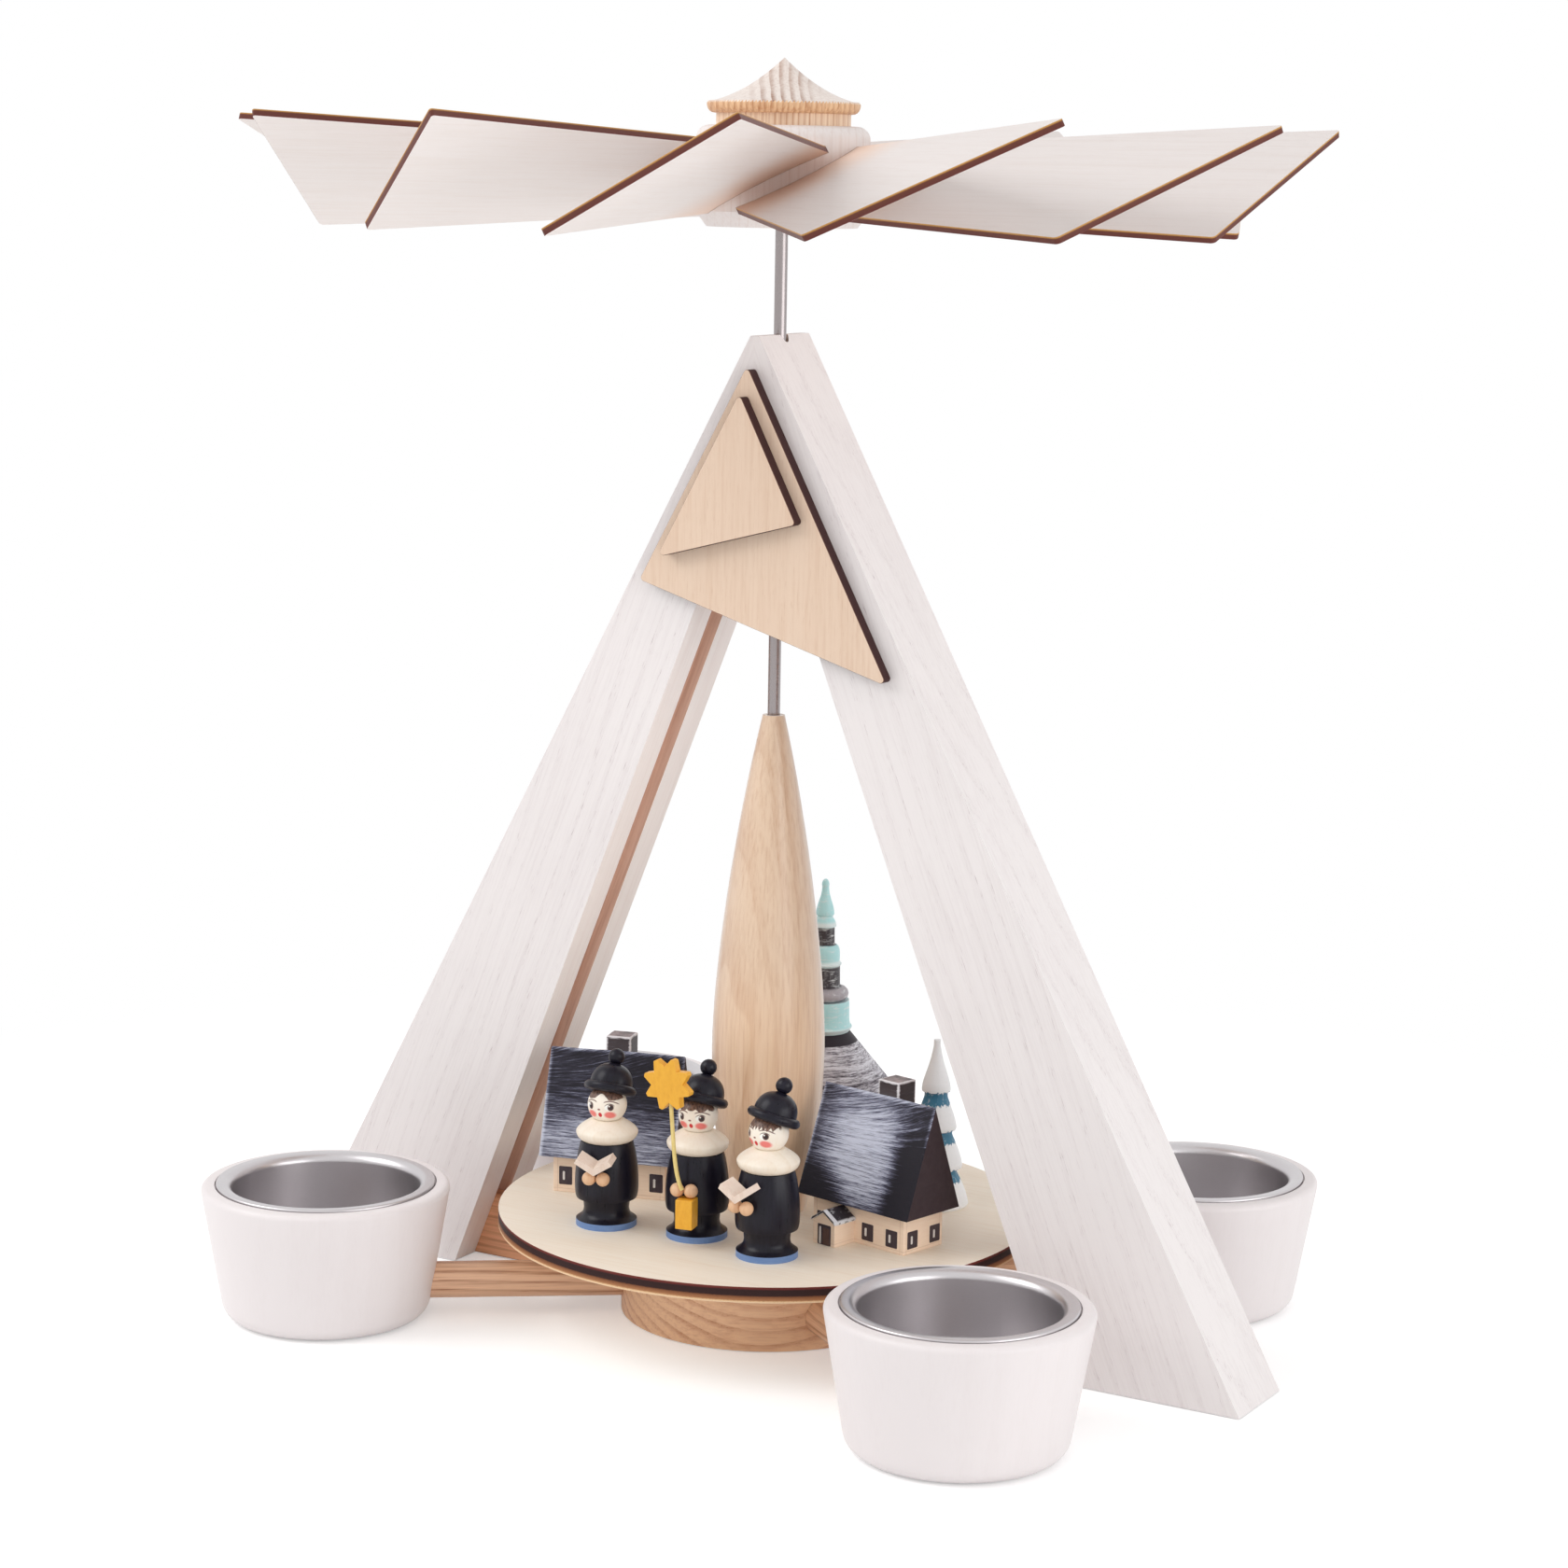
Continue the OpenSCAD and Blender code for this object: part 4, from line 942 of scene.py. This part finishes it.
def make_carolers():
    black = paint("black_satin", tone(22, 20, 30), tone(32, 30, 43), 0.3, shine=0.25)
    blue = paint("blue_rim", tone(102, 134, 186), tone(126, 154, 200), 0.4, (0.3, 0.3, 4.0))
    collar = wood("collar_maple", tone(250, 239, 223), tone(236, 216, 190), ring=3.0, heart=(14.0, 6.0),
                  late=0.3, fibre=0.3, pores=0.1, roughness=0.42)
    palm = wood("hand_maple", tone(232, 190, 152), tone(212, 160, 118), ring=2.0, heart=(8.0, 4.0), late=0.3,
                fibre=0.35, roughness=0.45)
    leaf = wood("book_maple", tone(240, 222, 208), tone(222, 194, 174), ring=2.6, heart=(12.0, 9.0),
                late=0.3, fibre=0.35)
    hair = {"left": (0.36, 0.3, 0.34, 0.06, 2.0), "middle": (0.31, 0.06, 0.25, 0.12, 2.0),
            "right": (0.24, 0.04, 0.1, 0.2, 1.0)}
    for singer, cut in hair.items():
        name = "caroler_" + singer
        place = on_disc(name)
        head_place = on_disc(name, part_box(name + "_head")[1].z / MM - HEAD_R - DISC_TOP)
        face = face_paint(name + "_face", *cut)
        dress(name + "_body", [black, blue], place,
              pick=lambda spot, normal: int(spot.z < FOOT_RIM_H and abs(normal.z) < 0.5))
        dress(name + "_head", [face, collar], head_place @ spin(FACE_TURN[singer], "Z"),
              pick=lambda spot, normal: int(spot.length > HEAD_R + 0.02 or spot.length < HEAD_R * 0.97))
        dress(name + "_hat", [black], head_place @ spin(-HAT_TURN, "Z") @ spin(-HAT_LEAN, "Y"))
        dress(name + "_hands", [palm, leaf], place,
              pick=lambda spot, normal: int(spot.z > HAND_Z + HAND_R - 0.02))


def star_shape(shape):
    """Adds the flat star, upright in its own frame and facing along X."""
    outline = []
    for i in range(STAR_POINTS):
        valley = math.tau * i / STAR_POINTS
        outline.append((STAR_IN_R * math.cos(valley), STAR_IN_R * math.sin(valley)))
        tip = valley + math.pi / STAR_POINTS
        for half in (-STAR_TIP_W / 2.0, STAR_TIP_W / 2.0):
            outline.append((STAR_R * math.cos(tip) - half * math.sin(tip),
                            STAR_R * math.sin(tip) + half * math.cos(tip)))
    sides = []
    for depth in (-STAR_T / 2.0, STAR_T / 2.0):
        sides.append([shape.verts.new(Vector((depth, y, z)) * MM) for y, z in outline])
    shape.faces.new(list(reversed(sides[0])))
    shape.faces.new(sides[1])
    skin(shape, sides)


def tube(shape, route, radius, sides=12):
    """Adds a round wire along a route of points in mm, closed at both ends."""
    rings = []
    for i, spot in enumerate(route):
        along = Vector(route[min(i + 1, len(route) - 1)]) - Vector(route[max(i - 1, 0)])
        place = frame_of(along, (1.0, 0.0, 0.0), spot)
        ring = []
        for k in range(sides):
            angle = math.tau * k / sides
            out = Vector((math.cos(angle), math.sin(angle), 0.0))
            ring.append(shape.verts.new(place @ (out * radius * MM)))
        rings.append(ring)
    skin(shape, rings)
    shape.faces.new(list(reversed(rings[0])))
    shape.faces.new(rings[-1])


def make_star():
    """The star on its bent wire, and the lantern under the hands."""
    gold = paint("gold_paint", tone(242, 180, 52), tone(228, 160, 40), 0.42, (1.2, 1.2, 0.5), coat=0.15)
    brass = paint("wire_yellow", tone(236, 214, 142), tone(214, 184, 104), 0.4, (2.0, 2.0, 0.4))
    place = on_disc("caroler_middle")
    stick_x = HAND_X + math.sqrt((HAND_R + STICK_R) ** 2 - HAND_R ** 2)
    lean = spin(STAR_LEAN, "X")
    foot = Matrix.Translation(Vector((stick_x, 0.0, HAND_Z)) * MM)
    turn = spin(-STAR_TURN, "Z")
    star_place = place @ foot @ lean @ Matrix.Translation((0.0, 0.0, STAR_RISE * MM)) @ turn
    shape = bmesh.new()
    star_shape(shape)
    soften(shape, 0.15)
    top = foot @ lean @ Vector((0.0, 0.0, (STAR_RISE - STAR_IN_R * 0.8) * MM)) / MM
    start = Vector((stick_x, 0.0, HAND_Z + STICK_R))
    handles = [start + Vector((0.0, WIRE_BOW, rise)) for rise in WIRE_HANDLES]
    route = interpolate_bezier(start, *handles, top, WIRE_POINTS)
    wire_shape = bmesh.new()
    tube(wire_shape, route, WIRE_R)
    lantern_shape = node_shape("caroler_star", place)
    high = [v for v in lantern_shape.verts if v.co.z > (HAND_Z - HAND_R) * MM]
    bmesh.ops.delete(lantern_shape, geom=high, context="VERTS")
    soften(lantern_shape, 0.2)
    rows = (("caroler_star_look", shape, gold, star_place, True),
            ("caroler_star_wire", wire_shape, brass, place, False),
            ("caroler_lantern_look", lantern_shape, gold, place, True))
    for name, form, look, spot, weighted in rows:
        made = piece(name, form, [look], spot, "rotor", weighted)
        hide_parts("caroler_star")


# Rotor: houses

def window(shape, place, width, height):
    """A dark painted window with one white stroke left of its middle."""
    slab(shape, rounded_box(width, height, 0.25), 0.12, place, 0)
    stroke = rounded_box(width * 0.17, height * 0.5, 0.2, (-width * 0.12, 0.0))
    slab(shape, stroke, 0.19, place, 1)


def house_windows(shape, side):
    """Adds a house's windows on its four walls."""
    level = Vector((0.0, 0.0, WINDOW_Z[side]))
    rows = {"front": FRONT_WINDOWS[side], **OTHER_WINDOWS}
    for facing, (width, height, places) in rows.items():
        x, y = WALLS_OUT[facing]
        wall = level + Vector((x * HOUSE_LEN, y * HOUSE_W, 0.0)) / 2.0
        for place in places:
            spot = wall + Vector((abs(y), abs(x), 0.0)) * place
            window(shape, frame_of((x, y, 0.0), UP, spot), width, height)


def make_door(shape):
    """The porch's front: a dark frame with a white line and a brown door."""
    place = frame_of((0.0, -1.0, 0.0), UP, (PORCH_X, -PORCH_FRONT, 0.0))
    for material, (width, height, radius, middle, thick) in enumerate(DOOR):
        slab(shape, rounded_box(width, height, radius, middle), thick, place, material)


def roof_material(spot, normal):
    """Which paint a roof's face gets: slope 0, gable 1, chimney 2, porch 3; spot is in mm."""
    if spot.z < WALL_H - 0.2:
        return 3
    behind_slope = WALL_H + ROOF_H * (1.0 - abs(spot.y) / (HOUSE_W / 2.0 + ROOF_OVERHANG))
    if spot.z > behind_slope + 0.3:
        return 2
    return int(abs(normal.x) > 0.75)


def make_houses():
    cream = walls("house_walls_cream")
    dark = paint("window_brown", tone(58, 46, 54), tone(74, 60, 64), 0.45, (2.0, 2.0, 0.6))
    white = paint("window_white", tone(238, 234, 230), tone(214, 206, 204), 0.5, (2.0, 2.0, 0.6))
    door = paint("door_brown", tone(96, 70, 62), tone(70, 50, 46), 0.5, (3.0, 3.0, 0.4))
    gable = paint("gable_dark", tone(56, 44, 48), tone(66, 54, 58), 0.55, (0.8, 0.8, 0.8), shine=0.2)
    porch = porch_paint("porch_roof")
    slate = (tone(30, 27, 36), tone(80, 80, 98), tone(150, 153, 172), tone(206, 210, 226))
    for side, snow in (("left", left_snow), ("right", right_snow)):
        name = "house_" + side
        place = on_disc(name)
        dress(name + "_walls", [cream], place, bevel=0.15)
        slope = dry_brush("roof_" + side, snow, slate)
        looks = [slope, gable, chimney_paint("chimney_" + side, side), porch]
        dress(name + "_roof", looks, place, bevel=0.3, pick=roof_material)
        panes = bmesh.new()
        house_windows(panes, side)
        if side == "right":
            make_door(panes)
        piece(name + "_windows", panes, [dark, white, door], place, "rotor")


# Rotor: church and tree

def church_windows(shape):
    """One tall window on each of the church's walls."""
    half_step = math.pi / CHURCH_SIDES
    wall_in = CHURCH_R * math.cos(half_step)
    level = Vector((0.0, 0.0, CHURCH_WINDOW_Z))
    for i in range(CHURCH_SIDES):
        angle = half_step * (2 * i + 1)
        out = Vector((math.cos(angle), math.sin(angle), 0.0))
        window(shape, frame_of(out, UP, out * wall_in + level), *CHURCH_WINDOW)


def make_church():
    cream = wood("church_walls_cream", tone(240, 216, 180), tone(224, 190, 150), ring=3.2, late=0.25,
                 fibre=0.3)
    place = on_disc("church")
    dress("church_walls", [cream], place, bevel=0.15)
    panes = bmesh.new()
    church_windows(panes)
    paints = [bpy.data.materials[name] for name in ("window_brown", "window_white")]
    piece("church_windows", panes, paints, place, "rotor")
    umber = (tone(46, 39, 46), tone(100, 94, 102), tone(168, 164, 172), tone(226, 225, 232))
    roof = dry_brush("church_roof", church_snow, umber, turned=True)
    dress("church_roof", [roof], on_disc("church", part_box("church_roof")[0].z / MM - DISC_TOP))
    low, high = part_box("church_tower")
    mint = tone(182, 230, 232)
    ebony = tone(54, 47, 52)
    cuts = [(high.z - low.z) / MM * share for share in TOWER_CUTS]
    colours = (mint, tone(170, 164, 170), ebony, mint, ebony, mint)
    tower = stripes("tower_paint", cuts, colours, 0.3, 0.25, hems=(0.0, cuts[2], cuts[4]), rings=0.6)
    dress("church_tower", [tower], on_disc("church", low.z / MM - DISC_TOP))


def make_tree():
    snow = tone(248, 249, 250)
    teal = tone(52, 118, 148)
    cuts = []
    colours = [snow]
    for i in range(TREE_TIERS - 1):
        cuts += [TREE_TIER_H * (i + TREE_NECK), TREE_TIER_H * (i + 1.0)]
        colours += [teal, snow]
    dress("tree", [stripes("tree_paint", cuts, colours, 3.0, 0.5, 0.5)], on_disc("tree"))


# Stage, light and camera

def seen_rays(tree):
    """1 for rays from the camera and for those that metal and glass send on, else 0."""
    path = tree.nodes.new("ShaderNodeLightPath")
    seen = path.outputs["Is Camera Ray"]
    for kind in ("Is Glossy Ray", "Is Transmission Ray"):
        either = tree.nodes.new("ShaderNodeMath")
        either.operation = "MAXIMUM"
        tree.links.new(seen, either.inputs[0])
        tree.links.new(path.outputs[kind], either.inputs[1])
        seen = either.outputs[0]
    return seen


def make_floor():
    """A pale floor that keeps the soft shadow and runs out into white."""
    shape = bmesh.new()
    bmesh.ops.create_circle(shape, cap_ends=True, segments=96, radius=FLOOR_R)
    mesh = bpy.data.meshes.new("floor")
    shape.to_mesh(mesh)
    shape.free()
    floor = add_object("floor", mesh)
    floor.location.z = -FLOOR_DROP
    g = Graph("floor_white")
    seen = seen_rays(g.tree)
    x, y = g.split(g.point())[:2]
    far = g.times(g.fade(g.length(x, y), *FLOOR_FADE), seen)
    plain = g.node("BsdfDiffuse", {"Color": FLOOR_COLOUR})
    glow = g.node("Emission", {"Strength": g.times(seen, FLOOR_GLOW)})
    near = g.node("AddShader", {0: plain, 1: glow})
    white = g.node("Emission")
    surface = g.node("MixShader", {0: far, 1: near, 2: white})
    g.tree.nodes.remove(g.shader)
    g.put(g.tree.nodes["Material Output"].inputs["Surface"], surface)
    mesh.materials.append(g.material)


def make_world():
    """White where it is seen directly, and a plain soft light elsewhere."""
    world = bpy.data.worlds.new("studio")
    bpy.context.scene.world = world
    world.use_nodes = True
    tree = world.node_tree
    level = tree.nodes.new("ShaderNodeMapRange")
    level.inputs["To Min"].default_value = SKY_LEVEL
    tree.links.new(seen_rays(tree), level.inputs["Value"])
    sky = tree.nodes["Background"]
    sky.inputs["Color"].default_value = (1.0, 1.0, 1.0, 1.0)
    tree.links.new(level.outputs[0], sky.inputs["Strength"])


def make_lamps():
    """Square soft lamps that look at one target."""
    for name, (spot, size, power) in LAMPS.items():
        data = bpy.data.lights.new(name, "AREA")
        data.size = size * MM
        data.energy = power
        lamp = add_object(name, data)
        lamp.location = Vector(spot) * MM
        look = Vector(LAMP_TARGET) - Vector(spot)
        lamp.rotation_euler = look.to_track_quat("-Z", "Y").to_euler()


def make_camera():
    azimuth = math.radians(CAM_AZIMUTH)
    pitch = math.radians(CAM_PITCH)
    flat = math.cos(pitch)
    back = Vector((math.sin(azimuth) * flat, -math.cos(azimuth) * flat, math.sin(pitch)))
    right = Vector((math.cos(azimuth), math.sin(azimuth), 0.0))
    spot = right * CAM_TARGET_SIDE + Vector((0.0, 0.0, CAM_TARGET_Z)) + back * CAM_DISTANCE
    data = bpy.data.cameras.new("camera")
    data.lens = CAM_LENS
    data.sensor_width = CAM_SENSOR
    data.sensor_fit = "HORIZONTAL"
    camera = add_object("camera", data)
    turn = Matrix((right, back.cross(right), back)).transposed().to_4x4()
    camera.matrix_world = Matrix.Translation(spot * MM) @ turn @ spin(CAM_ROLL, "Z")
    bpy.context.scene.camera = camera


make_camera()
make_legs()
make_base()
make_cups()
make_plates()
make_axle()
make_disc()
make_wheel()
make_carolers()
make_star()
make_houses()
make_church()
make_tree()
make_floor()
make_world()
make_lamps()
bpy.context.scene.view_settings.view_transform = "Standard"
